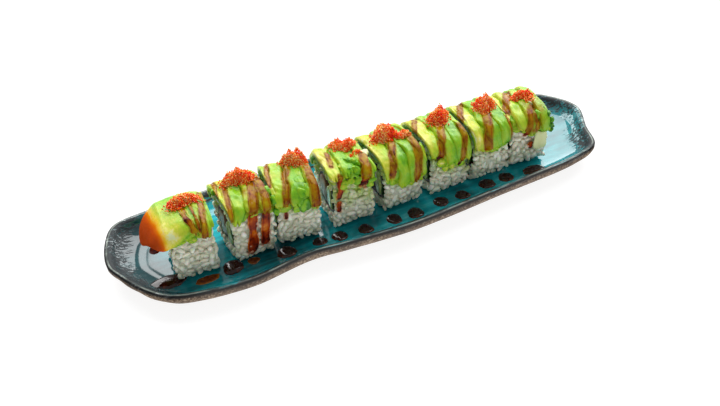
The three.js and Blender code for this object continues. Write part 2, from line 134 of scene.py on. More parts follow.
# Left to right: the left cut's place along the plate, the turn on it, the rice's height, the height of the
# slices' front ends at the left, middle and right, and how far down the rice the mashed green reaches.
# Places across a piece run from its left cut. Angles are in degrees on the section: 90 is the crown, 180 the
# front. roe: each mound's place, depth, half sizes and rise.
# slices: place at the crown and at the front end, width, colour from 0 yellow to 1 green, extra length.
# trails: the width, then the place and angle of points along it.
# film: thin sauce over the slices, by place, angle, half width, half angle and strength.
# lumps: soft pieces of avocado, by place, angle, half width, half length, thickness and colour.
ROLLS = [
    {
        "left": -134, "turn": -4, "tall": 40, "hang": (32, 33, 37), "smear": 1.5,
        "roe": [(14.5, 4, 8.4, 5.4, 5.0)],
        "slices": [(15.2, 17.4, 5.6, 0.42, -1), (22.2, 21.4, 8.6, 0.42, 3.4)],
        "trails": [
            (3.4, (11.3, 86), (13.2, 117), (15.6, 137)), (3.2, (26.3, 64), (23.6, 104), (20.6, 148)),
            (1.4, (17.5, 90), (18.4, 120), (18.8, 137)),
        ],
        "film": [(22, 138, 4, 12, 0.5)],
        "lumps": [],
    },
    {
        "left": -98, "turn": 3, "tall": 41, "hang": (36, 36, 35), "smear": 2,
        "roe": [(15.8, 8, 8.4, 6.8, 7.2)],
        "slices": [
            (0.5, -2.5, 7, 0.3, 0), (6, 0, 7, 0.28, 1), (12, 4.6, 9.5, 0.56, 2.5), (20, 14, 10, 0.5, 0),
            (27, 22.5, 9, 0.55, 1),
        ],
        "trails": [
            (1.8, (2.7, 52), (-0.5, 80), (-2, 93)), (2.4, (5.9, 77), (2.9, 103), (1.5, 121), (-0.9, 136)),
            (5.8, (22, 88), (18.6, 110), (13, 142), (11.5, 180), (9.8, 216)),
            (5.2, (26.4, 88), (24.6, 118), (21.2, 147), (19.8, 180), (18.9, 205)),
        ],
        "film": [(20, 110, 6.5, 20, 1.0), (25, 92, 5, 20, 1.0), (23, 130, 6, 14, 0.8), (14, 138, 4, 8, 0.5)],
        "lumps": [
            (28.3, 112, 2.0, 3.4, 2.2, 0.72), (28.6, 130, 2.0, 3.6, 2.2, 0.8), (28, 145, 1.6, 2.4, 1.6, 0.7),
            (-0.6, 62, 2.2, 4.0, 2.2, 0.6), (-1.0, 74, 1.8, 2.6, 1.8, 0.7),
        ],
    },
    {
        "left": -66.5, "turn": -5, "tall": 41, "hang": (34, 32, 29), "smear": 5,
        "roe": [(21, 9.5, 7.6, 6.2, 7.2)],
        "slices": [(0.5, -1.5, 7, 0.36, 0), (8, 3, 9, 0.42, 0), (19, 14, 12, 0.66, 0), (27, 25, 9, 0.45, 1)],
        "trails": [
            (2.2, (4.3, 52), (2, 75), (0, 102), (-1, 112)),
            (4.3, (14.6, 74), (10.5, 105), (7.3, 128), (6.5, 141)),
            (1.9, (6.6, 134), (5.6, 150), (5.1, 166)), (5.2, (27, 77), (26, 105), (25.2, 132), (24.3, 157)),
        ],
        "film": [(26, 118, 5, 34, 0.45), (27, 150, 3, 14, 0.5)],
        "lumps": [
            (18.5, 94, 4.2, 4.2, 1.8, 0.6), (16.5, 112, 4.4, 4.4, 2.2, 0.74), (15.5, 130, 4.6, 4.2, 2.4, 0.7),
            (17.5, 146, 4.4, 4.0, 1.9, 0.8), (20.5, 128, 3.0, 4.5, 1.7, 0.64), (12.5, 149, 2.6, 3, 1.4, 0.6),
        ],
    },
    {
        "left": -30, "turn": -2, "tall": 40.5, "hang": (38, 37, 33), "smear": 18,
        "roe": [(17.8, 10, 8.4, 5.2, 4.8), (21.5, -2.5, 3.0, 2.2, 1.5)],
        "slices": [(4, 3, 10, 0.26, 0), (13, 13, 9, 0.6, -1), (25.5, 24.5, 8, 0.5, -1)],
        "trails": [
            (2.6, (6, 75), (4.5, 95), (3.5, 108)), (6.0, (26.5, 100), (24, 122), (20.5, 148)),
            (3.2, (6.2, 127), (4.6, 143), (3.2, 162)), (2.6, (3.1, 166), (2.3, 190)),
        ],
        "film": [(3, 85, 2, 14, 0.5), (24, 100, 4, 12, 0.4)],
        "lumps": [
            (11.5, 96, 2.6, 3.2, 2.2, 0.66), (15.5, 104, 3, 3.6, 2.8, 0.76), (19.5, 108, 2.8, 4.2, 2.6, 0.7),
            (13, 120, 3, 2.8, 2.4, 0.8), (17.5, 124, 2.6, 3.2, 2.8, 0.68), (22, 112, 2.2, 3.6, 2, 0.84),
            (9, 112, 2.4, 2.6, 1.6, 0.5), (27.4, 96, 2.8, 3.2, 2, -0.1), (28, 124, 1.8, 5, 1.8, 0.58),
        ],
    },
    {
        "left": 3, "turn": 4, "tall": 40.5, "hang": (31, 21.5, 22.5), "smear": 5,
        "roe": [(13.0, 5.5, 9.4, 6.2, 7.4), (23.5, -1, 4.6, 3.4, 2.6)],
        "slices": [
            (4.5, 2, 12, 0.3, 0), (14, 12, 10, 0.58, 1), (21.5, 19.5, 8.5, 0.62, 0), (27.8, 27, 7, 0.5, -2),
        ],
        "trails": [
            (4.2, (13.5, 93), (11.3, 108), (6.1, 131), (3.4, 148)),
            (4.6, (27.6, 98), (25.5, 124), (22.3, 144), (20.6, 172)),
        ],
        "film": [(24, 130, 3.5, 24, 0.35)],
        "lumps": [(28.6, 132, 1.7, 5.5, 1.8, 0.5), (4, 158, 2.4, 2, 1.2, 0.5), (10, 162, 3, 2, 1.2, 0.62)],
    },
    {
        "left": 36.5, "turn": 3, "tall": 40.5, "hang": (36, 26, 25), "smear": 11,
        "roe": [(18.5, 4.5, 7.6, 6.2, 7.2)],
        "slices": [
            (3.5, 1.6, 11, 0.26, 1), (13.5, 14.5, 10.5, 0.6, 0), (22, 20, 9.5, 0.64, 0), (28, 26, 6, 0.52, 0),
        ],
        "trails": [
            (2.6, (7.3, 51), (2, 75), (-2.5, 92)), (4.3, (15.9, 95), (11, 115), (7.9, 131), (5.4, 148)),
            (3.2, (26.6, 108), (25, 130), (21.5, 146), (19.5, 175)),
        ],
        "film": [(25, 130, 3, 20, 0.35)],
        "lumps": [
            (6, 154, 3.2, 2.4, 1.3, 0.34), (11, 160, 3, 2.2, 1.2, 0.5), (16, 156, 3.2, 2.6, 1.3, 0.58),
            (9, 170, 2.4, 2.0, 0.9, 0.3), (14, 170, 2.4, 2, 0.9, 0.4),
        ],
    },
    {
        "left": 68.5, "turn": 1, "tall": 40.5, "hang": (30, 26, 29), "smear": 6,
        "roe": [(18.5, 1.8, 6.4, 7.2, 7.4)],
        "slices": [(-1, -2, 6, 0.36, 0), (4.5, 3, 8, 0.24, 1), (15, 14, 12, 0.58, 0), (24, 22, 9, 0.64, 0)],
        "trails": [
            (3.4, (9.5, 51), (3, 75), (-2, 99)), (5.4, (17, 95), (14.1, 113), (8.6, 140), (7.9, 162)),
            (1.8, (27.6, 118), (26.4, 150)),
        ],
        "film": [(26.5, 140, 2, 14, 0.6)],
        "lumps": [(13, 160, 3, 2, 1.2, 0.5), (20, 158, 3, 2.2, 1.2, 0.58)],
    },
    {
        "left": 98.7, "turn": -4, "tall": 38.8, "hang": (37, 27, 26), "smear": 2,
        "roe": [(17.2, 2.5, 6.2, 4.2, 4.4), (20, -2.5, 3.4, 2.6, 2.0)],
        "slices": [(-1, -2, 6, 0.08, 0), (8, 8, 9, 0.4, 0), (16, 15, 8, 0.6, 0), (24.5, 23.5, 8, 0.55, -1)],
        "trails": [
            (4.2, (10.9, 62), (5, 88), (0.4, 113)), (3.4, (16, 118), (12, 143), (9.3, 160)),
            (3.2, (17.9, 139), (17.2, 153)), (3.0, (13.8, 178), (13.8, 192)),
        ],
        "film": [(17, 124, 5, 22, 1.0), (22, 112, 4.5, 18, 0.7), (14, 150, 4, 8, 0.6)],
        "lumps": [
            (20.5, 104, 2.2, 2.2, 1.8, -0.1), (20.8, 130, 2.8, 3.2, 2, 0.7), (20.5, 178, 4.6, 7.4, 1.7, -0.2),
            (25, 124, 1.8, 2.2, 2, 0.9), (27, 133, 1.6, 2.4, 2.2, 0.95), (28.6, 143, 1.6, 2.0, 2.0, 0.9),
            (29, 153, 1.5, 2, 1.8, 1.05), (27.4, 150, 1.6, 1.8, 1.8, 0.95), (28.4, 161, 1.4, 1.6, 1.6, 0.9),
        ],
    },
]

# Sauce on the plate: place, half length, half width and height. The first ten stand for the model's pools.
POOLS = [
    (-141, -17, 12, 6.2, 2.2), (-101, -23.5, 6.4, 6.5, 2.6), (-66, -26.5, 6.4, 5.6, 2),
    (-31, -29, 5.4, 5.5, 1.8), (-13.5, -31, 4.8, 5.6, 1.9), (21.5, -32.5, 5.6, 6, 2.2),
    (41.5, -30, 5, 5.6, 2), (57, -31, 4.8, 5.2, 1.9), (77, -28.5, 5.4, 5.4, 2), (111.5, -31.5, 8, 6, 2.4),
]
THIN_POOLS = [
    (-118, -26.2, 7.7, 3.4, 0.7), (-87, -23.7, 3.8, 3.4, 0.9), (-43.8, -27.2, 5, 4.3, 1.2),
    (6.7, -30.7, 4.5, 6.2, 1.4), (91.6, -28.3, 5.2, 5.8, 1.5),
]


def lerp(a, b, t):
    return a + (b - a) * t


def smooth_step(low, high, value):
    t = np.clip((value - low) / (high - low), 0, 1)
    return t * t * (3 - 2 * t)


def rounded(t):
    """Rises on a quarter of a circle from 0 at 0 to 1 at 1."""
    return np.sqrt(1 - (1 - np.clip(t, 0, 1)) ** 2)


def bell(away, wide):
    """1 in the middle and next to nothing at twice the width from it."""
    return np.exp(-((away / wide) ** 2))


def unit(v):
    return v / np.linalg.norm(v, axis=-1, keepdims=True)


def round_angles(count):
    return np.linspace(0, 2 * math.pi, count, endpoint=False)


def run_along(line):
    """How far along a line of points each one lies."""
    return np.concatenate([[0], np.cumsum(np.linalg.norm(np.diff(line, axis=0), axis=1))])


def waves(points, size, seed, count=7):
    """A smooth wandering value from about -1 to 1 at each point, with bumps of about the given size."""
    draw = np.random.default_rng(seed)
    points = np.asarray(points, float)
    total = np.zeros(points.shape[:-1])
    for _ in range(count):
        way = draw.normal(size=points.shape[-1])
        way *= draw.uniform(0.6, 1.4) * math.pi / size / np.linalg.norm(way)
        total += np.sin(points @ way + draw.uniform(0, 2 * math.pi))
    return total / math.sqrt(count)


def smooth_curve(knots, count, closed):
    """Evenly spaced points on a centripetal curve through the knots."""
    knots = np.asarray(knots, float)
    if closed:
        padded = np.concatenate([knots[-1:], knots, knots[:2]])
    else:
        padded = np.concatenate([2 * knots[:1] - knots[1:2], knots, 2 * knots[-1:] - knots[-2:-1]])
    runs = len(padded) - 3
    fine = []
    t = np.linspace(0, 1, 60, endpoint=False)[:, None]
    for i in range(runs):
        a, b, c, d = padded[i : i + 4]
        da, db, dc = (math.sqrt(max(np.linalg.norm(q - p), 1e-9)) for p, q in ((a, b), (b, c), (c, d)))
        start = ((b - a) / da - (c - a) / (da + db) + (c - b) / db) * db
        end = ((c - b) / db - (d - b) / (db + dc) + (d - c) / dc) * db
        bend = -3 * b + 3 * c - 2 * start - end
        fine.append(b + start * t + bend * t**2 + (2 * b - 2 * c + start + end) * t**3)
    fine = np.concatenate(fine + [padded[runs + 1 : runs + 2]])
    run = run_along(fine)
    at = np.linspace(0, run[-1], count, endpoint=not closed)
    return np.stack([np.interp(at, run, values) for values in fine.T], axis=1)


def ring_faces(rows, count, wrap_rows=False):
    """Four-sided faces between rings of points, kept ring by ring."""
    r = np.arange(rows if wrap_rows else rows - 1)[:, None]
    c = np.arange(count)[None, :]
    r2, c2 = (r + 1) % rows, (c + 1) % count
    return np.stack([r * count + c, r * count + c2, r2 * count + c2, r2 * count + c], -1).reshape(-1, 4)


def turned_out(points, *groups):
    """The groups of faces of one closed body, turned so that they look outwards."""
    volume = 0.0
    for faces in groups:
        for k in range(1, faces.shape[1] - 1):
            a, b, c = points[faces[:, 0]], points[faces[:, k]], points[faces[:, k + 1]]
            volume += np.einsum("ij,ij->i", a, np.cross(b, c)).sum()
    return [faces if volume > 0 else faces[:, ::-1] for faces in groups]


def loft(rings, wrap=False):
    """A closed skin over rings of points: a tube with flat lids, or a hoop if it wraps."""
    rings = np.asarray(rings)
    rows, count = rings.shape[:2]
    faces = ring_faces(rows, count, wrap)
    if not wrap:
        k = np.arange(count // 2 - 1)
        lid = np.column_stack([k, k + 1, count - 2 - k, count - 1 - k])
        faces = np.concatenate([faces, lid[:, ::-1], lid + (rows - 1) * count])
    points = rings.reshape(-1, 3)
    return points, *turned_out(points, faces)


def repeated(faces, count, size):
    """The faces of a form with the given number of points, for each of its copies."""
    start = (np.arange(count) * size)[:, None, None]
    return (faces[None] + start).reshape(-1, faces.shape[1])


def in_frame(roll, points):
    """Points of a roll piece, moved to their place in the model."""
    a = math.radians(roll["turn"])
    turn = np.array([[math.cos(a), -math.sin(a), 0], [math.sin(a), math.cos(a), 0], [0, 0, 1]])
    foot = np.array([roll["left"] + HALF, ROW, PLATE["floor"] + GAP]) - ORIGIN
    return points @ turn.T + foot


class Body:
    """Points, faces and named values gathered into one mesh, in the frame of a roll piece or of the plate."""

    def __init__(self, roll=None):
        self.roll = roll
        self.points, self.faces, self.values, self.count = [], [], [], 0

    def add(self, points, *faces, **values):
        points = np.asarray(points, float).reshape(-1, 3)
        self.points.append(in_frame(self.roll, points) if self.roll else points - ORIGIN)
        self.faces += [group + self.count for group in faces]
        self.values.append({k: np.broadcast_to(np.ravel(v), len(points)) for k, v in values.items()})
        self.count += len(points)

    def build(self, name, look, slot, *stands_for):
        mesh = bpy.data.meshes.new(name)
        mesh.vertices.add(self.count)
        mesh.vertices.foreach_set("co", (np.concatenate(self.points) * MM).astype(np.float32).ravel())
        sizes = np.concatenate([np.full(len(group), group.shape[1]) for group in self.faces])
        corners = np.concatenate([group.ravel() for group in self.faces]).astype(np.int32)
        mesh.loops.add(len(corners))
        mesh.loops.foreach_set("vertex_index", corners)
        mesh.polygons.add(len(sizes))
        mesh.polygons.foreach_set("loop_start", (np.cumsum(sizes) - sizes).astype(np.int32))
        mesh.polygons.foreach_set("use_smooth", np.ones(len(sizes), bool))
        for key in sorted({key for part in self.values for key in part}):
            parts = [part.get(key, np.zeros(len(p))) for part, p in zip(self.values, self.points)]
            shown = mesh.attributes.new(key, "FLOAT", "POINT").data
            shown.foreach_set("value", np.concatenate(parts).astype(np.float32))
        mesh.update(calc_edges=True)
        mesh.materials.append(look.material)
        piece = bpy.data.objects.new(name, mesh)
        bpy.context.scene.collection.objects.link(piece)
        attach(piece, "root")
        if stands_for:
            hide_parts(*stands_for)


def srgb(r, g, b):
    """A colour given as it looks on a screen, from 0 to 255, as the shader's own linear colour."""
    return tuple(
        (c / 255) / 12.92 if c <= 10 else ((c / 255 + 0.055) / 1.055) ** 2.4 for c in (r, g, b)
    ) + (1.0,)


def grey(level):
    """A linear grey, which stands for a plain value in a mix or a ramp."""
    return (level, level, level, 1.0)


class Look:
    """A procedural material: a Principled shader and the nodes that feed it."""

    def __init__(self, name, **sockets):
        self.material = bpy.data.materials.new(name)
        self.material.use_nodes = True
        self.tree = self.material.node_tree
        self.shader = self.tree.nodes["Principled BSDF"]
        self.set(**sockets)

    def set(self, **sockets):
        """Gives the shader's sockets their values, each named with _ for a space."""
        for socket, value in sockets.items():
            self.feed(value, self.shader.inputs[socket.replace("_", " ")])

    def feed(self, value, socket):
        if isinstance(value, bpy.types.NodeSocket):
            self.tree.links.new(value, socket)
        else:
            socket.default_value = value

    def add(self, kind, inputs=None, **settings):
        node = self.tree.nodes.new("ShaderNode" + kind)
        for key, value in settings.items():
            setattr(node, key, value)
        for socket, value in (inputs or {}).items():
            self.feed(value, node.inputs[socket])
        return node

    def value(self, name):
        return self.add("Attribute", attribute_name=name).outputs["Fac"]

    def place(self, stretch=(1, 1, 1)):
        """The place on the piece in metres, squeezed along each axis."""
        at = self.add("TexCoord").outputs["Object"]
        return self.add("Mapping", {"Vector": at, "Scale": stretch}).outputs["Vector"]

    def noise(self, size, detail=3.0, rough=0.55, stretch=(1, 1, 1), warp=0.0, place=None):
        """A cloudy value from 0 to 1 with features of about the given size in millimetres."""
        place = self.place(stretch) if place is None else place
        form = {"Detail": detail, "Roughness": rough, "Distortion": warp}
        return self.add("TexNoise", {"Vector": place, "Scale": 1000 / size, **form}).outputs["Fac"]

    def ramp(self, value, *stops):
        """A colour read off between stops, each a place from 0 to 1 and a screen colour or a plain value."""
        node = self.add("ValToRGB", {"Fac": value})
        ladder = node.color_ramp.elements
        while len(ladder) < len(stops):
            ladder.new(0.5)
        for step, (at, *colour) in zip(ladder, stops):
            step.position = at
        for step, (at, *colour) in zip(ladder, stops):
            step.color = srgb(*colour) if len(colour) == 3 else grey(*colour)
        return node.outputs["Color"]

    def mix(self, share, a, b):
        node = self.add("Mix", data_type="RGBA")
        for index, value in ((0, share), (6, a), (7, b)):
            self.feed(value, node.inputs[index])
        return node.outputs[2]

    def math(self, how, *values):
        node = self.add("Math", operation=how)
        for index, value in enumerate(values):
            self.feed(value, node.inputs[index])
        return node.outputs[0]

    def plus(self, a, b):
        return self.math("ADD", a, b)

    def minus(self, a, b):
        return self.math("SUBTRACT", a, b)

    def times(self, a, b):
        return self.math("MULTIPLY", a, b)

    def bump(self, height, depth, strength):
        """Relief of the given depth in millimetres."""
        node = self.add("Bump", {"Height": height, "Distance": depth * MM, "Strength": strength})
        self.set(Normal=node.outputs["Normal"])


def teal_glaze(look, end, x):
    """Clouds and long streaks of teal, darker at the plate's ends and most of all at the left one."""
    cloud = look.noise(34, 4, stretch=(0.6, 1, 1), warp=0.6)
    streak = look.noise(5, 4, 0.6, stretch=(0.12, 1, 1), warp=0.25)
    depth = look.plus(look.times(cloud, 0.6), look.times(streak, 0.4))
    teal = look.ramp(depth, (0.36, 2, 66, 72), (0.45, 6, 118, 128), (0.56, 18, 158, 168), (0.7, 96, 200, 204))
    leftward = look.ramp(look.math("MULTIPLY_ADD", x, 2.0, 0.5), (0.3, 0.85), (0.7, 0.45))
    return look.mix(look.times(look.ramp(end, (0.0, 0.0), (0.8, 1.0)), leftward), teal, srgb(26, 36, 38))


def brush_strokes(look, rim, end, x, y):
    """Dry strokes of black: along the rim on the long sides, and out towards the tips at the ends."""
    line = {"X": look.times(x, 0.045), "Y": look.times(y, 0.045), "Z": look.times(rim, MM)}
    around = look.noise(1.1, 5, 0.7, warp=0.3, place=look.add("CombineXYZ", line).outputs["Vector"])
    outward = look.noise(1.3, 5, 0.7, stretch=(0.05, 1, 1), warp=0.3)
    inwards = look.math("DIVIDE", rim, 30.0)
    narrow = look.ramp(inwards, (0.02, 0.62), (0.1, 0.57), (0.22, 0.5), (0.32, 0.36), (0.46, 0.0))
    broad = look.ramp(inwards, (0.02, 0.62), (0.2, 0.56), (0.4, 0.48), (0.6, 0.36), (0.8, 0.22))
    patch = look.times(look.minus(look.noise(22, 3, 0.5), 0.5), 0.5)
    along_rim = look.minus(look.plus(look.minus(narrow, look.times(end, 0.16)), patch), around)
    at_ends = look.minus(look.plus(look.times(end, broad), patch), outward)
    strokes = [look.ramp(cover, (0.0, 0.0), (0.05, 1.0)) for cover in (along_rim, at_ends)]
    return look.math("MAXIMUM", *strokes)


def glaze_look():
    look = Look("glaze", IOR=1.6)
    rim, end, side = (look.value(name) for name in ("rim", "end", "side"))
    place = look.add("SeparateXYZ", {"Vector": look.place()})
    x, y = place.outputs["X"], place.outputs["Y"]
    black = brush_strokes(look, rim, end, x, y)
    glazed = look.mix(black, teal_glaze(look, end, x), look.mix(end, srgb(15, 18, 20), srgb(40, 45, 47)))
    # A black line runs along the rim's edge, and just inside it a pale one: partly glaze worn thin over the
    # crest, partly a painted highlight on the crest.
    pale = look.ramp(look.math("DIVIDE", rim, 4.0), (0.26, 0.0), (0.36, 1.0), (0.5, 1.0), (0.6, 0.0))
    thin_glaze_and_highlight = look.times(pale, look.ramp(look.noise(9), (0.4, 0.1), (0.6, 0.85)))
    line = look.ramp(look.math("ABSOLUTE", look.minus(rim, 0.2)), (0.55, 1.0), (1.0, 0.0))
    glazed = look.mix(line, look.mix(thin_glaze_and_highlight, glazed, srgb(150, 160, 150)), srgb(10, 10, 10))
    # Bare speckled clay under the rim.
    speck = look.noise(1.5, 4, 0.72)
    clay = look.ramp(
        speck, (0.34, 54, 40, 30), (0.46, 106, 84, 64), (0.56, 150, 128, 104), (0.7, 220, 206, 184),
    )
    clay = look.mix(look.ramp(look.noise(14), (0.4, 0.0), (0.7, 0.6)), clay, srgb(60, 46, 40))
    look.set(
        Base_Color=look.mix(side, glazed, clay),
        Roughness=look.mix(side, look.mix(black, grey(0.06), grey(0.5)), grey(0.8)),
        Specular_IOR_Level=look.ramp(look.times(black, end), (0.1, 0.5), (0.8, 0.12)),
    )
    look.bump(look.plus(look.times(speck, side), look.times(black, 0.3)), 0.35, 0.7)
    return look


def rice_look():
    look = Look(
        "rice", Subsurface_Weight=0.3, Subsurface_Scale=0.0014, Specular_IOR_Level=0.45, Roughness=0.28,
    )
    # Each grain's tone differs at random; the core behind the grains gets a low tone, which is painted shade
    # in the gaps between them.
    base = look.ramp(look.value("shade"), (0.0, 190, 190, 164), (0.5, 224, 224, 200), (1.0, 250, 250, 234))
    base = look.mix(look.ramp(look.noise(1.4), (0.4, 0.0), (0.65, 0.35)), base, srgb(246, 246, 234))
    base = look.mix(look.value("green"), base, srgb(158, 190, 44))
    look.set(Base_Color=look.mix(look.value("amber"), base, srgb(178, 92, 36)))
    look.bump(look.noise(0.8), 0.12, 0.5)
    return look


def avocado_look():
    look = Look("avocado", Subsurface_Weight=0.2, Subsurface_Scale=0.0012, Subsurface_Radius=(0.8, 1.0, 0.25))
    mottle = look.minus(look.noise(3.2, 4, 0.6), 0.5)
    fibre = look.minus(look.noise(1.0, 3, 0.6, stretch=(1, 0.35, 0.35)), 0.5)
    hue = look.plus(look.plus(look.value("hue"), look.times(mottle, 0.5)), look.times(fibre, 0.34))
    flesh = look.ramp(
        hue, (0.0, 216, 224, 168), (0.06, 226, 220, 118), (0.18, 198, 202, 56), (0.4, 160, 194, 24),
        (0.62, 120, 182, 12), (0.82, 80, 152, 4), (1.0, 40, 100, 4),
    )
    brown = look.times(look.value("brown"), look.ramp(look.noise(2.4), (0.3, 0.66), (0.7, 1.0)))
    sauce = look.ramp(brown, (0.2, 160, 130, 14), (0.55, 140, 84, 10), (0.9, 110, 42, 8))
    flesh = look.mix(look.ramp(brown, (0.0, 0.0), (0.7, 0.95)), flesh, sauce)
    film = look.value("film")
    stain = look.ramp(
        film, (0.0, 250, 226, 30), (0.22, 244, 190, 8), (0.45, 222, 116, 6), (0.7, 190, 66, 16),
        (1.0, 146, 40, 14),
    )
    wet = look.ramp(look.noise(4.5), (0.35, 0.26), (0.65, 0.46))
    bare = look.ramp(brown, (0.1, 0.36), (0.6, 0.08))
    look.set(
        Base_Color=look.mix(look.ramp(film, (0.02, 0.0), (0.2, 0.7), (0.5, 0.97)), flesh, stain),
        Roughness=look.mix(look.math("MAXIMUM", film, brown), wet, grey(0.16)),
        Specular_IOR_Level=look.mix(look.ramp(film, (0.0, 0.0), (0.4, 1.0)), bare, grey(0.0)),
    )
    look.bump(look.plus(fibre, look.times(mottle, 0.8)), 0.3, 0.6)
    return look


def roe_look():
    look = Look(
        "roe", Subsurface_Weight=0.5, Subsurface_Scale=0.001, Subsurface_Radius=(1.0, 0.35, 0.1),
        Roughness=0.18, Specular_IOR_Level=0.3,
    )
    tone = look.value("tone")
    look.set(Base_Color=look.ramp(
        tone, (0.0, 230, 36, 10), (0.3, 255, 92, 26), (0.6, 255, 140, 50), (1.0, 255, 204, 124),
    ))
    return look


def sauce_look(name, gloss):
    look = Look(name, Roughness=0.09, Specular_IOR_Level=gloss)
    thin = look.plus(look.value("thin"), look.times(look.minus(look.noise(2.6), 0.5), 0.8))
    over_green = look.ramp(
        thin, (0.1, 40, 12, 8), (0.3, 104, 40, 2), (0.5, 140, 80, 2), (0.75, 158, 116, 4),
        (1.0, 160, 142, 12),
    )
    over_rice = look.ramp(
        thin, (0.1, 64, 12, 4), (0.32, 124, 34, 4), (0.55, 166, 66, 6), (0.8, 196, 104, 20),
        (1.0, 214, 150, 70),
    )
    look.set(Base_Color=look.mix(look.value("rice"), over_green, over_rice))
    look.bump(look.noise(2.0), 0.16, 0.5)
    return look


def seaweed_look():
    look = Look("seaweed", Roughness=0.38, Specular_IOR_Level=0.5)
    look.set(Base_Color=look.ramp(look.noise(1.6, 4, 0.65), (0.35, 8, 14, 10), (0.7, 34, 46, 30)))
    look.bump(look.noise(0.9, 4), 0.25, 0.8)
    return look


def cucumber_look():
    look = Look("cucumber", Subsurface_Weight=0.15, Subsurface_Scale=0.001, Roughness=0.22, Coat_Weight=0.3)
    flesh = look.ramp(look.noise(2.2, 4), (0.35, 150, 186, 84), (0.65, 206, 222, 150))
    look.set(Base_Color=look.mix(look.value("skin"), flesh, srgb(26, 62, 16)))
    look.bump(look.noise(1.0), 0.2, 0.6)
    return look


def filling_look():
    look = Look("filling", Subsurface_Weight=0.1, Subsurface_Scale=0.001, Roughness=0.42, Coat_Weight=0.2)
    flesh = look.ramp(
        look.noise(2.4, 5, 0.65, stretch=(1, 0.4, 1)), (0.32, 120, 96, 78), (0.55, 176, 150, 124),
        (0.75, 212, 192, 166),
    )
    brown = look.ramp(look.noise(1.3, 4), (0.35, 62, 34, 20), (0.65, 134, 82, 42))
    look.set(Base_Color=look.mix(look.value("crust"), flesh, brown))
    look.bump(look.noise(1.1, 4), 0.35, 0.8)
    return look


def rounded_square(c, s, wide, high, power):
    """How far a rounded square reaches the way that has this cosine and sine."""
    return ((np.abs(c) / wide) ** power + (np.abs(s) / high) ** power) ** (-1 / power)


def section(angle, tall, grow=0.0):
    """Depth and height on a piece's section at a polar angle: 0 back, 90 degrees top, 180 front."""
    c, s = np.cos(angle), np.sin(angle)
    high = np.where(s > 0, tall - WAIST, WAIST)
    stretch = rounded_square(c, s, HALF_DEEP, high, np.where(s > 0, SQUARE, SQUARE_BASE)) + grow
    z = WAIST + stretch * s
    below = np.clip((WAIST - z) / WAIST, 0, 1)
    return stretch * c * (1 - BASE_TAPER * below**2), z


def on_roll(roll, x, angle, grow):
    """Points on the outside of a piece, or off it by the given growth."""
    return np.stack(np.broadcast_arrays(x, *section(angle, roll["tall"], grow)), -1)


def laid_out(x, angle):
    """Places on the outside as if it were unrolled, in millimetres, for patterns that follow it."""
    return np.stack([x, angle * ARC], -1)


def angle_at(z, tall, front=True):
    """The angle at which the upper half of the section has the given height."""
    up = np.clip((z - WAIST) / (tall - WAIST), 0, 1)
    angle = np.arctan2(z - WAIST, HALF_DEEP * (1 - up**SQUARE) ** (1 / SQUARE))
    return math.pi - angle if front else angle


def oval(part, count, inset=0.0):
    """A rounded-square ring for a layer or stick: depth and height."""
    y, z, wide, high = part
    a = round_angles(count)
    radius = rounded_square(np.cos(a), np.sin(a), wide - inset, high - inset, OVAL_SQUARE)
    return y + radius * np.cos(a), z + radius * np.sin(a)


def hang_at(roll, x):
    """The height of the slices' front ends at a place across the piece."""
    return np.interp(x, (-HALF, 0, HALF), roll["hang"])


@functools.cache
def plate_edge():
    return smooth_curve(PLATE_EDGE, PLATE["stations"], closed=True)


@functools.cache
def plate_profiles():
    """The plate's under and upper faces in section: hundredths of the way from spine to edge, and height."""
    foot, floor, rim = PLATE["foot"], PLATE["floor"], PLATE["rim"]
    rise = rim - floor
    under = [(foot, 0), (foot + 2, 0.8), (85, 3.2), (96.5, 8.4), (99.8, rim - 3.4)]
    over = [
        (99.9, rim - 0.8), (98.9, rim - 0.1), (96, rim - 0.5), (92.5, floor + 0.5 * rise),
        (88, floor + 0.2 * rise), (82, floor + 0.04 * rise), (74, floor),
    ]
    return smooth_curve(under, 26, closed=False), smooth_curve(over, 34, closed=False)


def plate_spine(edge):
    """The nearest place on the plate's middle line for each point of its edge."""
    return np.column_stack([np.clip(edge[:, 0], -PLATE["spine"], PLATE["spine"]), np.zeros(len(edge))])


def plate_ring(share, z, widen):
    """A level ring part of the way from spine to edge, with its distance from the edge widened."""
    edge = plate_edge()
    spine = plate_spine(edge)
    ring = spine + (edge - spine) * (1 - (1 - share / 100) * widen)
    return np.column_stack([ring, np.full(len(ring), z)])


def plate_top(x, y):
    """Height of the plate's upper face at places in front of its spine."""
    edge = plate_edge()
    near = edge[edge[:, 1] < 0]
    near = near[np.argsort(near[:, 0])]
    share = y / np.interp(x, near[:, 0], near[:, 1])
    _, over = plate_profiles()
    return np.interp(100 - (100 - share * 100) / PLATE["slope"], over[::-1, 0], over[::-1, 1])


def rim_ripple(ring):
    """How far a handmade rim rises and dips along its length, on the rings that are high enough."""
    high = smooth_step(PLATE["rim"] - 5, PLATE["rim"] - 1, ring[:, 2])
    return high * (PLATE["ripple"] * waves(ring, 30, 5) - PLATE["rim_dip"])


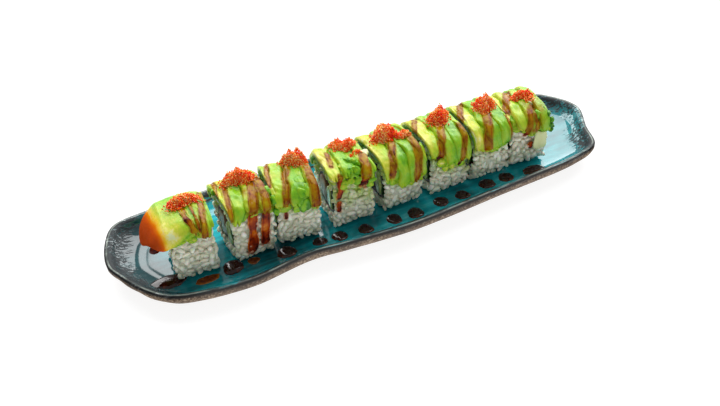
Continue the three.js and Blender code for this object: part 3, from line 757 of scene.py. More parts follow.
def make_plate(look):
    rim, slope = PLATE["rim"], PLATE["slope"]
    edge = plate_edge()
    under, over = plate_profiles()
    rings, ways, sides = [], [], []
    for share, z in under:
        ring = plate_ring(share, z, 1.0)
        pulled_in = PLATE["side_wobble"] * smooth_step(0.5, 3, z) * (1 + waves(ring, 9, 3))
        ring[:, 2] += rim_ripple(ring)
        ring[:, :2] *= 1 - pulled_in[:, None]
        rings.append(ring)
        ways.append(np.full(len(ring), -0.6 * max(rim - 3 - z, 0)))
        sides.append(np.full(len(ring), smooth_step(rim - 1.6, rim - 2.6, z)))
    tops = []
    for share, z in over:
        ring = plate_ring(share, z, slope)
        ring[:, 2] += rim_ripple(ring)
        tops.append(ring)
    core = plate_spine(edge) * [0.98, 1]
    inner = plate_ring(over[-1, 0], PLATE["floor"], slope)
    for share in (0.92, 0.82, 0.7, 0.55, 0.4, 0.25, 0.1, 0.01):
        ring = np.column_stack([lerp(core, inner[:, :2], share), inner[:, 2]])
        ring[:, 2] += 0.05 * (waves(ring, 25, 8) - 1)
        tops.append(ring)
    ways += [np.linalg.norm(edge - ring[:, :2], axis=1) for ring in tops]
    sides += [np.zeros(len(ring)) for ring in tops]
    points, faces = loft(rings + tops)
    body = Body()
    end = smooth_step(*PLATE["ends"], np.abs(points[:, 0]))
    body.add(points, faces, rim=np.concatenate(ways), end=end, side=np.concatenate(sides))
    body.build("plate_glazed", look, "glaze", "plate")


def grain_shape():
    """One cooked grain, lying along x, a little bent and thinner at one end: points, quads and tip faces."""
    rings, sides, half_long = GRAIN["rings"], GRAIN["sides"], 0.5 * GRAIN["long"]
    around = round_angles(sides)
    points = []
    for t in -np.cos(np.linspace(0, math.pi, rings + 2))[1:-1]:
        girth = 0.5 * (1 - abs(t) ** 2.6) ** 0.55 * (1 - 0.14 * t)
        y = girth * GRAIN["wide"] * np.cos(around) + GRAIN["bend"] * (1 - t * t)
        z = girth * GRAIN["thick"] * np.sin(around)
        points.append(np.column_stack([np.full(sides, half_long * t), y, z]))
    points = np.concatenate([*points, [[-half_long, 0, 0], [half_long, 0, 0]]])
    k = np.arange(sides)
    beside = (k + 1) % sides
    last = (rings - 1) * sides
    tip = np.full(sides, rings * sides)
    start = np.column_stack([tip, beside, k])
    end = np.column_stack([tip + 1, last + k, last + beside])
    return points, *turned_out(points, ring_faces(rings, sides), np.concatenate([start, end]))


def spaced(centres, ways, reach, gap, most, taken):
    """Picks candidates, each three points on a line, that keep clear of those picked before."""
    offsets = np.array([-reach, 0, reach]) if reach else np.array([0.0])
    dots = centres[:, None, :] + ways[:, None, :] * offsets[None, :, None]
    store = np.empty((most + len(taken), len(offsets), 3))
    store[: len(taken)] = taken
    filled = len(taken)
    picked = []
    for i, mine in enumerate(dots):
        if filled:
            apart = store[:filled].reshape(-1, 1, 3) - mine[None]
            if (np.einsum("ijk,ijk->ij", apart, apart)).min() < gap * gap:
                continue
        store[filled] = mine
        filled += 1
        picked.append(i)
        if filled == len(store):
            break
    return picked, store[:filled]


def outer_places(roll, rng, count, deep):
    """Places for grains all round the outside, where avocado doesn't hide them, and the way out at each."""
    y, z = section(np.linspace(0, 2 * math.pi, 900), roll["tall"])
    run = run_along(np.column_stack([y, z]))
    at = rng.uniform(0, run[-1], count)
    py, pz = np.interp(at, run, y), np.interp(at, run, z)
    ahead, behind = (
        [np.interp(at + step, run, line, period=run[-1]) for line in (y, z)] for step in (0.5, -0.5)
    )
    out = unit(np.column_stack([np.zeros(count), ahead[1] - behind[1], behind[0] - ahead[0]]))
    x = rng.uniform(-HALF + 1.3, HALF - 1.3, count)
    places = np.column_stack([x, py, pz]) - out * deep
    shown = (pz < np.where(py < 0, hang_at(roll, x), AVOCADO["back"]) + 4) & (pz > 1.2)
    return places[shown], out[shown]


def cut_places(roll, rng, count, deep):
    """Places for grains on both cuts, from the tunnel to the outside, and the way out at each."""
    inner_y, inner_z = oval(TUNNEL, 360)
    outer_y, outer_z = section(rng.uniform(0, 2 * math.pi, count), roll["tall"], -1.4)
    way = np.arctan2(outer_z - TUNNEL[1], outer_y - TUNNEL[0]) % (2 * math.pi)
    ring = np.linspace(0, 2 * math.pi, 361)
    inner_y, inner_z = (np.interp(way, ring, np.append(line, line[0])) for line in (inner_y, inner_z))
    share = rng.uniform(0.1, 1, count) ** 0.8
    face = np.where(rng.uniform(size=count) < 0.5, -1.0, 1.0)
    y, z = lerp(inner_y, outer_y, share), lerp(inner_z, outer_z, share)
    return np.column_stack([face * (HALF - deep), y, z]), face[:, None] * [1.0, 0.0, 0.0]


def rice_core(roll):
    """The pressed rice behind the grains, with the tunnel for the seaweed through it."""
    count = 96
    angles = round_angles(count)
    tunnel = np.column_stack(oval(TUNNEL, count, -0.2))
    outside = np.column_stack(section(angles, roll["tall"], -1.7))

    def ring(x, share):
        return np.column_stack([np.full(count, x), lerp(tunnel, outside, share)])

    rings = [ring(CORE_END, 0), ring(-CORE_END, 0), ring(-CORE_END - 0.1, 0.35), ring(-CORE_END - 0.1, 0.7)]
    for x in (-CORE_END, *np.linspace(-CORE_END + 2, CORE_END - 2, 9), CORE_END):
        rings.append(on_roll(roll, x, angles, -2.0))
    rings = np.array([*rings, ring(CORE_END + 0.1, 0.7), ring(CORE_END + 0.1, 0.35)])
    rings += 0.25 * np.stack([waves(rings, 2.4, 11 + k) for k in range(3)], -1)
    return loft(rings, wrap=True)


def make_rice(roll, look, trails):
    number = roll["number"]
    rng = np.random.default_rng(100 + number)
    body = Body(roll)
    points, faces = rice_core(roll)
    # The core's tone is set darker than the grains': painted shade in the gaps between them.
    body.add(points, faces, shade=0.25, green=rice_green(roll, points, 0), amber=0)
    shape, quads, tips = grain_shape()
    size = len(shape)
    taken = np.empty((0, 3, 3))
    for deep, gap, most, tries in RICE_LAYERS:
        outer = int(tries * OUTER_SHARE)
        groups = [outer_places(roll, rng, outer, deep), cut_places(roll, rng, tries - outer, deep)]
        places, outs = (np.concatenate(pair) for pair in zip(*groups))
        order = rng.permutation(len(places))
        places, outs = places[order], outs[order]
        places -= outs * rng.uniform(-0.35, 0.5, len(outs))[:, None]
        ways = rng.normal(size=places.shape)
        ways -= outs * np.einsum("ij,ij->i", ways, outs)[:, None]
        ways = unit(unit(ways) + outs * rng.normal(0, GRAIN["tilt"], len(outs))[:, None])
        picked, taken = spaced(places, ways, GRAIN["reach"], gap, most, taken)
        places, outs, ways = places[picked], outs[picked], ways[picked]
        n = len(places)
        lift = unit(outs - ways * np.einsum("ij,ij->i", outs, ways)[:, None])
        local = shape[None] * rng.uniform(GRAIN["least"], GRAIN["most"], (n, 3))[:, None, :]
        axes = np.stack([ways, np.cross(lift, ways), lift], 1)
        grains = (places[:, None] + local @ axes).reshape(-1, 3)
        grains[:, 2] = np.maximum(grains[:, 2], 0.15)
        shade = np.repeat(rng.uniform(0.1, 1, n), size)
        green, amber = rice_green(roll, grains, 40 + number), near_trails(trails, grains, 0.9)
        faces = (repeated(quads, n, size), repeated(tips, n, size))
        body.add(grains, *faces, shade=shade, green=green, amber=amber)
    body.build(f"rice_grains_{number}", look, "rice", f"rice_{number}")


def rice_green(roll, points, seed):
    """How green the rice is where mashed avocado was wiped over its front and back."""
    x, y, z = points.T
    edge = np.where(y < 0, hang_at(roll, x), AVOCADO["back"])
    reach = np.where(y < 0, roll["smear"], 3.0)
    near = smooth_step(-1.0, 0.1, (z - edge) / np.maximum(reach * 1.4, 1))
    return np.clip(near * (0.95 + 0.5 * waves(points, 5.5, seed)), 0, 0.92)


def near_trails(trails, points, spread):
    """How close each point is to a sauce trail, from 0 to 0.8."""
    close = np.zeros(len(points))
    for line, wide in trails:
        apart = np.full(len(points), 1e9)
        for dot in line[::2]:
            gap = points - dot
            np.minimum(apart, np.einsum("ij,ij->i", gap, gap), out=apart)
        far = np.maximum(np.sqrt(apart) - wide * 0.5, 0)
        close = np.maximum(close, bell(far, spread))
    return np.where(close > 0.05, close * 0.8, 0)


def slice_limits(roll, spec):
    """Start and end angles of one slice."""
    crown, front, _, _, longer = spec
    start_z = AVOCADO["back"] + 2 * math.sin(crown)
    end_z = hang_at(roll, front - HALF) - longer
    return angle_at(start_z, roll["tall"], front=False), angle_at(end_z, roll["tall"])


def slice_line(roll, spec, angle):
    """The slice's middle across the piece, which drifts as it runs from the crown down the front."""
    _, end = slice_limits(roll, spec)
    crown = math.radians(75)
    return lerp(spec[0], spec[1], np.clip((angle - crown) / (end - crown), 0, 1.2)) - HALF


def slice_top(roll, spec, x, angle):
    """How far one slice's upper face stands off the rice at a place, or far below it where it isn't."""
    start, end = slice_limits(roll, spec)
    t = (angle - start) / (end - start)
    u = (x - slice_line(roll, spec, angle)) / (spec[2] / 2)
    inside = (np.abs(u) <= 1) & (t >= 0) & (t <= 1)
    u = np.clip(u, -1, 1)
    return np.where(inside, slice_bottom(u) + slice_body(u, np.clip(t, 0, 1)), -9.0)


def slice_body(u, t):
    """Thickness of a slice: blunt at its left edge, thinner to the right, with rounded ends."""
    edge = np.sqrt(1 - np.clip((np.abs(u) - 0.7) / 0.3, 0, 1) ** 2)
    across = (0.86 - 0.3 * ((u + 1) / 2) ** 1.3) * edge + 0.16 * (1 - u**2)
    ends = rounded(np.minimum(t / 0.05, (1 - t) / 0.07))
    return AVOCADO["thick"] * (0.04 + 0.96 * across) * (0.3 + 0.7 * ends)


def slice_bottom(u):
    """How far a slice's lower face stands off the rice across its width."""
    return AVOCADO["lift"] + AVOCADO["bed"] * 0.5 + AVOCADO["tilt"] * (0.5 - 0.5 * u)


def even_angles(tall, start, end, count):
    """Angles between two, evenly spaced along the section's outline."""
    fine = np.linspace(start, end, 240)
    run = run_along(np.column_stack(section(fine, tall)))
    return np.interp(np.linspace(0, run[-1], count), run, fine)


def add_sheet(body, upper, lower, **values):
    """A closed sheet between two grids of points: rows run back to front and columns left to right."""
    points, faces = loft(np.concatenate([upper, lower[:, ::-1]], 1))
    body.add(points, faces, **{key: np.concatenate([v, v[:, ::-1]], 1) for key, v in values.items()})


def add_layer(body, x, angles, top, bottom, **values):
    """A closed sheet on a piece, from one height off the rice to another."""
    upper, lower = (on_roll(body.roll, x, angles, grow) for grow in (top, bottom))
    add_sheet(body, upper, lower, **values)


def make_avocado(roll, look, trails, ball, fine_ball):
    number = roll["number"]
    body = Body(roll)
    add_bed(body, trails)
    for index, spec in enumerate(roll["slices"]):
        add_slice(body, index, spec, trails)
    for index, lump in enumerate(roll["lumps"]):
        add_lump(body, lump, number * 17 + index, fine_ball, 2.2 if lump[1] < 152 else 0.6)
    add_mash(body, ball)
    if number == 1:
        add_wing(body)
    body.build(f"avocado_slices_{number}", look, "avocado", f"avocado_{number}")


def add_bed(body, trails):
    """The mashed avocado under the slices, with a ragged front end."""
    roll, number, lift = body.roll, body.roll["number"], AVOCADO["lift"]
    x, t = np.meshgrid(np.linspace(-COVER_END, COVER_END, 48), np.linspace(0, 1, 84))
    back = angle_at(AVOCADO["back"] + 1, roll["tall"], front=False)
    ragged = 1.2 * waves(x[..., None], 3.4, number) + 0.6 * waves(x[..., None], 1.4, number + 9)
    angles = lerp(back, angle_at(hang_at(roll, x) + 0.8 + ragged, roll["tall"]), t)
    ends = np.clip(np.minimum(t / 0.04, (1 - t) / 0.06), 0, 1) ** 0.5
    place = laid_out(x, angles)
    top = lift + AVOCADO["bed"] * (0.1 + 0.9 * ends) + 0.3 * waves(place, 3, 31 + number) * ends
    hue = 0.52 + 0.12 * waves(place, 4, 77 + number)
    add_layer(body, x, angles, top, lift - 1.2, hue=hue, brown=browned(roll, trails, x, angles, top))


def add_slice(body, index, spec, trails):
    """One slice: a blunt-edged band over the top, cut off flat where it meets a cut of the roll."""
    roll = body.roll
    rows, columns = 96, 44
    seed = roll["number"] * 31 + index
    start, end = slice_limits(roll, spec)
    wide, tone = spec[2:4]
    u0 = -np.cos(np.linspace(0, math.pi, columns))[None, :]
    # The ends of a slice are ragged where it was pressed against the rice.
    across = u0[..., None] * wide / 2
    ragged = 0.03 * waves(across, 2.6, seed + 3) + 0.015 * waves(across, 1, seed)
    angles = even_angles(roll["tall"], start, end, rows)[:, None] * np.ones((1, columns))
    t = (angles - start) / (end - start)
    angles = angles + ragged * smooth_step(0.6, 1, t)
    run = t * 60
    along = run[..., None]
    line = slice_line(roll, spec, angles) + 0.7 * waves(along, 15, seed)
    taper = rounded(np.minimum(t / 0.07, (1 - t) / 0.13))
    half = wide / 2 * (0.35 + 0.65 * taper) * (1 + 0.07 * waves(along, 8, seed + 50))
    left = np.clip(line - half, -COVER_END, COVER_END - 1.0)
    right = np.clip(line + half, -COVER_END + 1.0, COVER_END)
    x = lerp(left, right, (u0 + 1) / 2)
    u = np.clip((x - line) / half, -1, 1)
    place = laid_out(x, angles)
    relief = 0.27 * waves(place, 5, seed + 7) + 0.09 * waves(place, 1.9, seed + 90)
    relief += 0.15 * waves(np.stack([x - line - 0.2 * run, run * 0.08], -1), 2.2, seed + 5)
    thick = slice_body(u, t)
    top = slice_bottom(u) + thick + relief * np.clip(thick / 1.5, 0, 1)
    edge = smooth_step(0.8, 1, np.abs(u)) * np.where(u > 0, 0.2, -0.1)
    hue = tone + 0.12 * u + edge + 0.08 * waves(place, 6, seed + 13)
    brown = browned(roll, trails, x, angles, top)
    add_layer(body, x, angles, top, AVOCADO["lift"] - 0.4, hue=hue, brown=brown)


def browned(roll, trails, x, angles, grow):
    """How brown a thin film of sauce makes the avocado: under the trails, and over some wider patches."""
    brown = near_trails(trails, on_roll(roll, x, angles, grow).reshape(-1, 3), 1.0).reshape(x.shape)
    uneven = 0.85 + 0.3 * waves(laid_out(x, angles), 4, 4)
    for at, angle, half, half_angle, strength in roll["film"]:
        far = ((x - at + HALF) / half) ** 2 + ((np.degrees(angles) - angle) / half_angle) ** 2
        brown = np.maximum(brown, strength * np.exp(-far * 0.8) * uneven)
    return np.clip(brown, 0, 1)


def add_lump(body, lump, seed, ball, grow):
    """A soft uneven bit pressed on the surface: half width across, half length down and thickness out."""
    x, angle, wide, long, thick, hue = lump
    shape, faces = ball
    _, y, z = on_roll(body.roll, 0, math.radians(angle) + np.array([-0.02, 0, 0.02]), grow).T
    middle = np.array([x - HALF, y[1], z[1]])
    down = unit(np.array([0, y[2] - y[0], z[2] - z[0]]))
    ways = np.array([[1, 0, 0], down, [0, down[2], -down[1]]])
    bumps = 1 + 0.16 * waves(shape * 3, 2.2, seed) + 0.06 * waves(shape * 3, 0.9, seed + 1)
    points = middle + (np.sign(shape) * np.abs(shape) ** 0.92 * bumps[:, None] * [wide, long, thick]) @ ways
    # The hue is paler on the lump's top and greener down its sides and underside: painted light and shade,
    # with random mottling on top.
    tone = hue + 0.12 * waves(shape * 3, 1.6, seed + 2) + 0.18 * (1 - np.clip(shape[:, 2], -1, 1)) - 0.08
    body.add(points, faces, hue=tone, brown=0)


def add_mash(body, ball):
    """Flat smears of avocado wiped on to the rice under the slices' front and back ends."""
    roll, number = body.roll, body.roll["number"]
    rng = np.random.default_rng(900 + number)
    for k in range(MASH["front"] + MASH["back"]):
        front = k < MASH["front"]
        x = rng.uniform(1, THICK - 1)
        edge = hang_at(roll, x - HALF) if front else AVOCADO["back"]
        reach = min(roll["smear"] * 0.5, 4) + 1 if front else 2
        high = max(edge + 1.0 - reach * rng.uniform(0, 1) ** 1.5, WAIST + 0.5)
        angle = math.degrees(angle_at(high, roll["tall"], front))
        size = rng.uniform(*MASH["size"])
        wide, long = size * rng.uniform(1, 1.4), size * rng.uniform(0.6, 1.1)
        lump = (x, angle, wide, long, MASH["thick"], rng.uniform(0.42, 0.6))
        add_lump(body, lump, number * 61 + k, ball, 0.1)


def add_wing(body):
    """The first piece's outer slice, a half disc that slides off over the left cut."""
    roll, tall, count = body.roll, body.roll["tall"], 72
    c, t = np.meshgrid(np.linspace(-1, 1, count), 0.5 - 0.5 * np.cos(np.linspace(0, math.pi, count)))
    out, into = np.clip(-c, 0, 1), np.clip(c, 0, 1)
    x = -COVER_END + into * WING["inner"]
    # The outline seen square on is a half disc, so the free edge is drawn in on an arc.
    bow = 1 - np.sqrt(np.clip(1 - (np.abs(2 * t - 1) * 0.93) ** 2, 0, 1)) ** 1.1
    reach = WING["reach"] * out * (1 - 0.24 * bow * out)
    front = lerp(angle_at(hang_at(roll, x) - 1 + 9 * into**1.3, tall), WING["front"], out**1.7)
    back = lerp(angle_at(AVOCADO["back"] + 8 * into**2, tall, front=False), WING["back"], out**1.7)
    angles = lerp(back, front, t)
    edge = np.minimum.reduce([t / 0.1, (1 - t) / 0.1, (1 - out) / 0.12, (1 - into) / 0.1])
    place = laid_out(x - reach, angles)
    slim = 1 - 0.4 * smooth_step(0.45, -0.12, c)
    thick = WING["thick"] * slim * (0.18 + 0.82 * rounded(edge))
    thick += 0.16 * waves(place, 7, 3) + 0.1 * waves(place, 2.5, 8) * into
    lean = 4 * (t - 0.45) * into
    fall = WING["drop"] * WING["reach"] * (reach / WING["reach"]) ** 1.3
    base = AVOCADO["lift"] + 0.3
    slid = np.stack([lean - reach, np.zeros_like(x), -fall], -1)
    upper, lower = (on_roll(roll, x, angles, grow) + slid for grow in (base + thick, base))
    add_sheet(body, upper, lower, **wing_colours(c, t, edge, place))


def wing_colours(c, t, edge, place):
    """From the free edge inwards: dark sauce, orange, yellow, then the flesh from pale to green."""
    inwards = (c + 1) / 2
    way = inwards + 0.16 * (0.8 - t) + 0.012 * waves(place, 5, 21)
    film = np.interp(way, (0.12, 0.26, 0.34, 0.4, 0.46, 0.53), (1, 0.85, 0.6, 0.35, 0.15, 0))
    ripe = inwards + 0.52 * (0.8 - t) + 0.015 * waves(place, 4, 22)
    pale = bell(ripe - 0.5, 0.08) * smooth_step(0.55, 0.8, t)
    hue = np.interp(ripe, (0.4, 0.55, 0.7, 0.8, 0.95), (0.14, 0.18, 0.36, 0.52, 0.62)) - 0.14 * pale
    rim = (1 - np.clip(edge * 1.6, 0, 1)) * smooth_step(0.4, 0.7, inwards)
    hue = hue + 0.4 * rim + 0.06 * waves(place, 3, 55) * np.clip(c, 0, 1)
    return {"hue": np.clip(hue, 0, 1), "film": film}


class Cover:
    """How far the avocado stands off the rice over one piece, read off a smoothed grid."""

    def __init__(self, roll):
        self.roll = roll
        self.x = np.linspace(-COVER_END, COVER_END, 60)
        self.angle = np.linspace(0, math.pi, 200)
        x, angle = np.meshgrid(self.x, self.angle)
        lift = AVOCADO["lift"]
        back = angle_at(AVOCADO["back"] + 1, roll["tall"], front=False)
        front = angle_at(hang_at(roll, x) + 1.2, roll["tall"])
        covered = (angle > back) & (angle < front)
        high = np.where(covered, lift + AVOCADO["bed"], 0.1)
        for spec in roll["slices"]:
            high = np.maximum(high, slice_top(roll, spec, x, angle))
        if roll["number"] == 1:
            under_wing = covered & (x < -HALF + 22)
            high = np.where(under_wing, np.maximum(high, lift + WING["cover"]), high)
        soft = 4
        kernel = bell(np.linspace(-2, 2, 2 * soft + 1), 1)
        kernel /= kernel.sum()
        padded = np.pad(high, soft, mode="edge")
        for axis in (0, 1):
            padded = np.apply_along_axis(np.convolve, axis, padded, kernel, "same")
        self.high = padded[soft:-soft, soft:-soft]

    def at(self, x, angle):
        """How far the cover stands off the rice at places across the piece and angles on its section."""
        i = np.clip((angle - self.angle[0]) / (self.angle[1] - self.angle[0]), 0, len(self.angle) - 1.001)
        j = np.clip((x - self.x[0]) / (self.x[1] - self.x[0]), 0, len(self.x) - 1.001)
        a, b = i.astype(int), j.astype(int)
        near, far = (lerp(self.high[row, b], self.high[row, b + 1], j - b) for row in (a, a + 1))
        return lerp(near, far, i - a)

    def top(self, x, y):
        """Height of the cover at places on the crown."""
        fine = np.linspace(math.radians(35), math.radians(145), 90)
        out = np.empty(len(x))
        for i, (px, py) in enumerate(zip(x, y)):
            sy, sz = section(fine, self.roll["tall"], self.at(np.full(90, px), fine))
            out[i] = np.interp(py, sy[::-1], sz[::-1])
        return out


def trail_run(roll, index, count):
    """Places and angles along a sauce trail, evenly spaced, and the share of its length at each."""
    marks = np.array(roll["trails"][index][1:], float)
    angles = even_angles(roll["tall"], math.radians(marks[0, 1]), math.radians(marks[-1, 1]), count)
    x = np.interp(np.degrees(angles), marks[:, 1], marks[:, 0]) - HALF
    margin = count // 6
    kernel = np.hanning(count // 3 + 1)
    padded = np.pad(x, margin, mode="reflect", reflect_type="odd")
    x = np.convolve(padded, kernel / kernel.sum(), "same")[margin : margin + count]
    t = np.linspace(0, 1, count)
    wander = 0.3 * waves(t[:, None] * 4, 1.3, roll["number"] * 5 + index)
    return x + wander * np.sin(math.pi * t), angles, t


def trail_lines(roll, cover):
    """Each trail's middle line on the cover, and its width."""
    lines = []
    for index, spec in enumerate(roll["trails"]):
        x, angles, _ = trail_run(roll, index, 60)
        lines.append((on_roll(roll, x, angles, cover.at(x, np.minimum(angles, math.pi))), spec[0]))
    return lines


def make_trails(roll, cover, look):
    body = Body(roll)
    for index, spec in enumerate(roll["trails"]):
        add_trail(body, index, spec[0], cover)
    if roll["number"] == 1:
        add_drip(body)
    body.build(f"sauce_trails_{roll['number']}", look, "sauce")


def add_trail(body, index, wide, cover):
    """One run of sauce down the front, with a bead at its lower end where it lies on rice."""
    number = body.roll["number"]
    x, angles, t = trail_run(body.roll, index, 90)
    swell = 1 + 0.2 * waves(t[:, None] * 4, 0.8, number * 11 + index)
    drop = 1 + 0.2 * bell(t - 0.93, 0.05)
    ends = np.maximum(rounded((1 - t) / 0.05) * rounded(t / 0.06), 0.04)
    half = (wide / 2 * swell * drop * ends)[:, None]
    u = np.sin(np.linspace(-math.pi / 2, math.pi / 2, 19))[None, :]
    limit = COVER_END + 0.2
    xs = np.clip(x[:, None] + half * u, -limit, limit)
    grid = angles[:, None] * np.ones_like(u)
    base = cover.at(xs, np.minimum(grid, math.pi))
    on_rice = smooth_step(1.8, 0.3, base)
    bead = bell(t - 0.93, 0.06)[:, None] * (0.25 + 0.75 * on_rice)
    place = laid_out(xs, grid)
    proud = 0.04 + 0.1 * np.clip(half / 1.6, 0, 1) + 0.14 * on_rice + 0.4 * bead
    proud = proud * (1 - u**2) ** 0.6 + 0.07 * waves(place, 2.5, number + index)
    # Sauce is darkest where it gathers, just inside both edges of a trail.
    gathered = bell(np.abs(u) - 0.7, 0.2)
    thin = 0.66 - 0.22 * gathered + 0.36 * smooth_step(0.84, 1, np.abs(u)) + 0.2 * waves(place, 6, 7 + index)
    thin = np.clip(thin - 0.4 * bead - 0.16 * on_rice, 0, 1)
    add_layer(body, xs, grid, base + 0.1 + proud, base - 0.5, thin=thin, rice=on_rice)


def add_drip(body):
    """A dark drop that hangs under the free corner of the first piece's outer slice."""
    shape, faces = ball_shape(3)
    stretch = np.where(shape[:, 2:] > 0, 1.5, 0.9) * [[0, 0, 1]] + [[1, 1, 0]]
    body.add(np.array(DRIP["place"]) + shape * stretch * DRIP["half_size"], faces, thin=0.1, rice=1.0)


def add_pool(body, spec, seed):
    """A low dome of sauce lying on the plate."""
    x, y, long, wide, high = spec
    rows, count = 14, 72
    a = round_angles(count)
    way = np.column_stack([np.cos(a), np.sin(a)])
    wander = 1 + 0.07 * waves(way, 1.1, seed) + 0.03 * waves(way, 0.4, seed + 9)
    shares = np.sin(np.linspace(0.04, math.pi / 2, rows))
    rings = []
    for share in shares:
        px, py = x + long * share * wander * way[:, 0], y + wide * share * wander * way[:, 1]
        rings.append(np.column_stack([px, py, plate_top(px, py) + high * (1 - share**3.2) ** 0.62]))
    rings.append(rings[-1] - [0, 0, 0.8])
    edge = np.repeat([*shares**6, 1], count)
    shallow = 0.3 if high < 1 else 0.0
    body.add(*loft(rings), thin=np.clip(0.22 * edge + shallow, 0, 1), rice=0)


def make_pools(look):
    for number, spec in enumerate(POOLS, 1):
        body = Body()
        add_pool(body, spec, number)
        body.build(f"sauce_drop_{number}", look, "sauce", f"sauce_pool_{number}")
    body = Body()
    for number, spec in enumerate(THIN_POOLS, 1):
        add_pool(body, spec, 50 + number)
    body.build("sauce_small_drops", look, "sauce")


def ball_shape(fineness):
    """A round body of small three-sided faces."""
    mesh = bpy.data.meshes.new("ball")
    form = bmesh.new()
    bmesh.ops.create_icosphere(form, subdivisions=fineness, radius=1)
    form.to_mesh(mesh)
    form.free()
    points = np.array([v.co for v in mesh.vertices])
    faces = np.array([p.vertices for p in mesh.polygons])
    bpy.data.meshes.remove(mesh)
    return points, faces


def mound_place(mound, seed, r, a, limit):
    """Places on a mound, at a share of its reach and an angle round it, kept within the given x."""
    x, y, wide, deep, _ = mound
    wander = 1 + 0.16 * np.sin(2 * a + seed) + 0.1 * np.sin(3 * a + 2 * seed)
    return np.clip(x - HALF + wide * r * wander * np.cos(a), -limit, limit), y + deep * r * wander * np.sin(a)


def mound_rise(mound, r):
    """How far a mound stands up at a share of its reach."""
    return (mound[4] - 0.6) * np.clip(1 - np.clip(r, 0, 1) ** 2.2, 0, 1) ** 0.75


def smooth_mound(mound, seed, cover):
    """The closed heap behind the outer beads."""
    a = round_angles(48)
    rings = []
    for r in np.sin(np.linspace(0.03, math.pi / 2, 12)):
        x, y = mound_place(mound, seed, 0.93 * r, a, HALF)
        rings.append(np.column_stack([x, y, cover.top(x, y) + mound_rise(mound, r) - 1.0]))
    rings.append(rings[-1] - [0, 0, 1.5])
    return loft(rings)


def bead_places(mound, seed, rng, cover):
    """Many places over and in the outer part of a mound, a few of them strays beside it."""
    _, _, wide, deep, _ = mound
    tries = int(ROE["tries"] * min(1, wide * deep / 40))
    r = np.sqrt(rng.uniform(0, 1.2, tries)) * (1 + 0.4 * rng.uniform(0, 1, tries) ** 70)
    x, y = mound_place(mound, seed, r, rng.uniform(0, 2 * math.pi, tries), HALF + 1)
    spot = np.column_stack([x, y])
    pile = mound_rise(mound, r)
    pile = pile * (1 + 0.2 * waves(spot, 2.4, seed)) + 0.4 * waves(spot, 1.2, seed + 30) * np.clip(pile, 0, 1)
    layer = rng.uniform(0, 1, tries)
    z = cover.top(x, y) + 0.1 + pile - layer * np.clip(pile, 0, 1) + 1.1 * rng.uniform(0, 1, tries) ** 6
    return np.column_stack([x, y, z])


def make_roe(roll, cover, look, ball):
    number = roll["number"]
    rng = np.random.default_rng(500 + number)
    shape, faces = ball
    body = Body(roll)
    places = []
    for index, mound in enumerate(roll["roe"]):
        seed = number + 3 * index
        places.append(bead_places(mound, seed, rng, cover))
        # The heap under the beads has a darker, redder tone than most beads: painted shade in the gaps
        # between them.
        body.add(*smooth_mound(mound, seed, cover), tone=0.25)
    places = np.concatenate(places)
    picked, _ = spaced(places, np.zeros_like(places), 0, ROE["gap"], ROE["most"], np.empty((0, 1, 3)))
    places = places[picked]
    n = len(places)
    size = ROE["bead"] / 2 * rng.uniform(0.86, 1.1, n)
    beads = places[:, None] + shape[None] * size[:, None, None]
    tone = np.clip(0.52 + 0.2 * waves(places, 5, number + 60) + rng.normal(0, 0.24, n), 0, 1)
    body.add(beads, repeated(faces, n, len(shape)), tone=np.repeat(tone, len(shape)))
    body.build(f"roe_beads_{number}", look, "roe", f"roe_{number}")


def stick(part, recess, count, seed):
    """A bar through the piece with an uneven section and domed ends, and how near its side each point is."""
    ring = np.column_stack(oval(part, count))
    middle = np.array(part[:2])
    half = HALF - recess
    end = [(half - 0.5, 0.98), (half, 0.86), (half, 0.5)]
    along = [(x, 1.0) for x in np.linspace(-half + 1.5, half - 1.5, 8)]
    steps = [*((-x, share) for x, share in end[::-1]), *along, *end]
    rings = []
    for x, share in steps:
        points = np.column_stack([np.full(count, x), lerp(middle, ring, share)])
        points[:, 1:] += 0.35 * (ring - middle) / 8 * waves(points, 4, seed)[:, None]
        points[:, 0] += 0.25 * waves(points, 3, seed + 1)
        rings.append(points)
    return *loft(rings), np.repeat([share for _, share in steps], count)


def make_seaweed(roll, look):
    number = roll["number"]
    rings = []
    for inset, start in ((0.6, -CORE_END), (1.35, CORE_END)):
        for x in np.linspace(start, -start, 10):
            y, z = oval(TUNNEL, 120, inset)
            ring = np.column_stack([np.full(len(y), x), y, z])
            folds = [waves(ring * [0.3, 1, 1], 5, number + shift) for shift in (0, 40)]
            ring[:, 1:] += 0.3 * np.column_stack(folds)
            rings.append(ring)
    body = Body(roll)
    body.add(*loft(rings, wrap=True))
    body.build(f"seaweed_sheet_{number}", look, "seaweed", f"seaweed_{number}")


def make_sticks(roll, looks):
    number = roll["number"]
    points, faces, share = stick(CUCUMBER, 0.3, 48, number)
    body = Body(roll)
    skin = smooth_step(0.9, 0.99, share) * smooth_step(-8.5, -10, points[:, 1])
    body.add(points, faces, skin=skin)
    body.build(f"cucumber_stick_{number}", looks["cucumber"], "cucumber", f"cucumber_{number}")
    points, faces, share = stick(FILLING, 0.7, 64, number + 20)
    body = Body(roll)
    body.add(points, faces, crust=smooth_step(0.8, 0.95, share))
    body.build(f"filling_stick_{number}", looks["filling"], "filling", f"filling_{number}")


def make_camera():
    a, e, r = (math.radians(CAMERA[k]) for k in ("azimuth", "elevation", "roll"))
    back = Vector((-math.sin(a) * math.cos(e), -math.cos(a) * math.cos(e), math.sin(e)))
    right = (-back).cross(Vector((0, 0, 1))).normalized()
    up = right.cross(-back)
    side = right * math.cos(r) - up * math.sin(r)
    top = right * math.sin(r) + up * math.cos(r)
    data = bpy.data.cameras.new("camera")
    data.lens, data.sensor_width, data.sensor_fit = CAMERA["lens"], 36, "HORIZONTAL"
    data.clip_start, data.clip_end = 0.01, 20
    camera = bpy.data.objects.new("camera", data)
    turn = Matrix((side, top, back)).transposed().to_4x4()
    camera.matrix_world = Matrix.Translation(Vector(CAMERA["place"]) * MM) @ turn
    bpy.context.scene.collection.objects.link(camera)
    bpy.context.scene.camera = camera


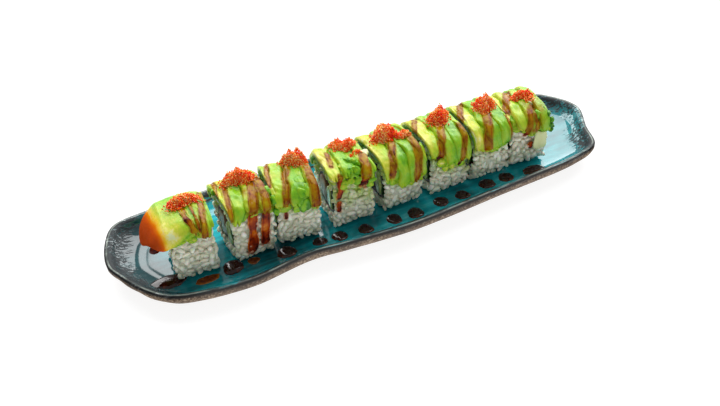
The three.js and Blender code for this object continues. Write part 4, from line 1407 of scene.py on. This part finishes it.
def make_light(name, place, target, size, radiance):
    data = bpy.data.lights.new(name, "AREA")
    data.shape, data.size, data.size_y = "RECTANGLE", size[0], size[1]
    data.energy = radiance * math.pi * size[0] * size[1]
    light = bpy.data.objects.new(name, data)
    light.location = place
    light.rotation_euler = (Vector(target) - Vector(place)).to_track_quat("-Z", "Y").to_euler()
    bpy.context.scene.collection.objects.link(light)


def make_studio():
    world = bpy.data.worlds.new("studio")
    bpy.context.scene.world = world
    world.use_nodes = True
    sky = world.node_tree.nodes["Background"].inputs
    sky["Color"].default_value = (1, 1, 1, 1)
    sky["Strength"].default_value = SKY
    for name, spec in LIGHTS.items():
        make_light(name, *spec)
    bpy.context.scene.view_settings.view_transform = "Standard"


def make_floor():
    glow = {"Emission_Color": (1, 1, 1, 1), "Emission_Strength": 0.86}
    look = Look("floor", Roughness=0.8, Specular_IOR_Level=0.1, **glow)
    look.set(Base_Color=look.ramp(look.noise(300, 2), (0.3, 130, 130, 130), (0.7, 136, 136, 136)))
    mesh = bpy.data.meshes.new("floor")
    reach, z = 4.0, -0.0003
    corners = [(x * reach, y * reach, z) for x, y in ((-1, -1), (1, -1), (1, 1), (-1, 1))]
    mesh.from_pydata(corners, [], [(0, 1, 2, 3)])
    mesh.materials.append(look.material)
    floor = bpy.data.objects.new("floor", mesh)
    bpy.context.scene.collection.objects.link(floor)


def main():
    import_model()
    make_camera()
    make_studio()
    make_floor()
    looks = {
        "glaze": glaze_look(), "rice": rice_look(), "avocado": avocado_look(), "roe": roe_look(),
        "sauce": sauce_look("sauce", 0.45), "trails": sauce_look("sauce trails", 0.12),
        "seaweed": seaweed_look(), "cucumber": cucumber_look(), "filling": filling_look(),
    }
    make_plate(looks["glaze"])
    make_pools(looks["sauce"])
    ball, fine_ball, bead = ball_shape(3), ball_shape(4), ball_shape(2)
    for number, spec in enumerate(ROLLS, 1):
        roll = {"number": number, **spec}
        cover = Cover(roll)
        trails = trail_lines(roll, cover)
        make_rice(roll, looks["rice"], trails)
        make_avocado(roll, looks["avocado"], trails, ball, fine_ball)
        make_trails(roll, cover, looks["trails"])
        make_roe(roll, cover, looks["roe"], bead)
        make_seaweed(roll, looks["seaweed"])
        make_sticks(roll, looks)


main()
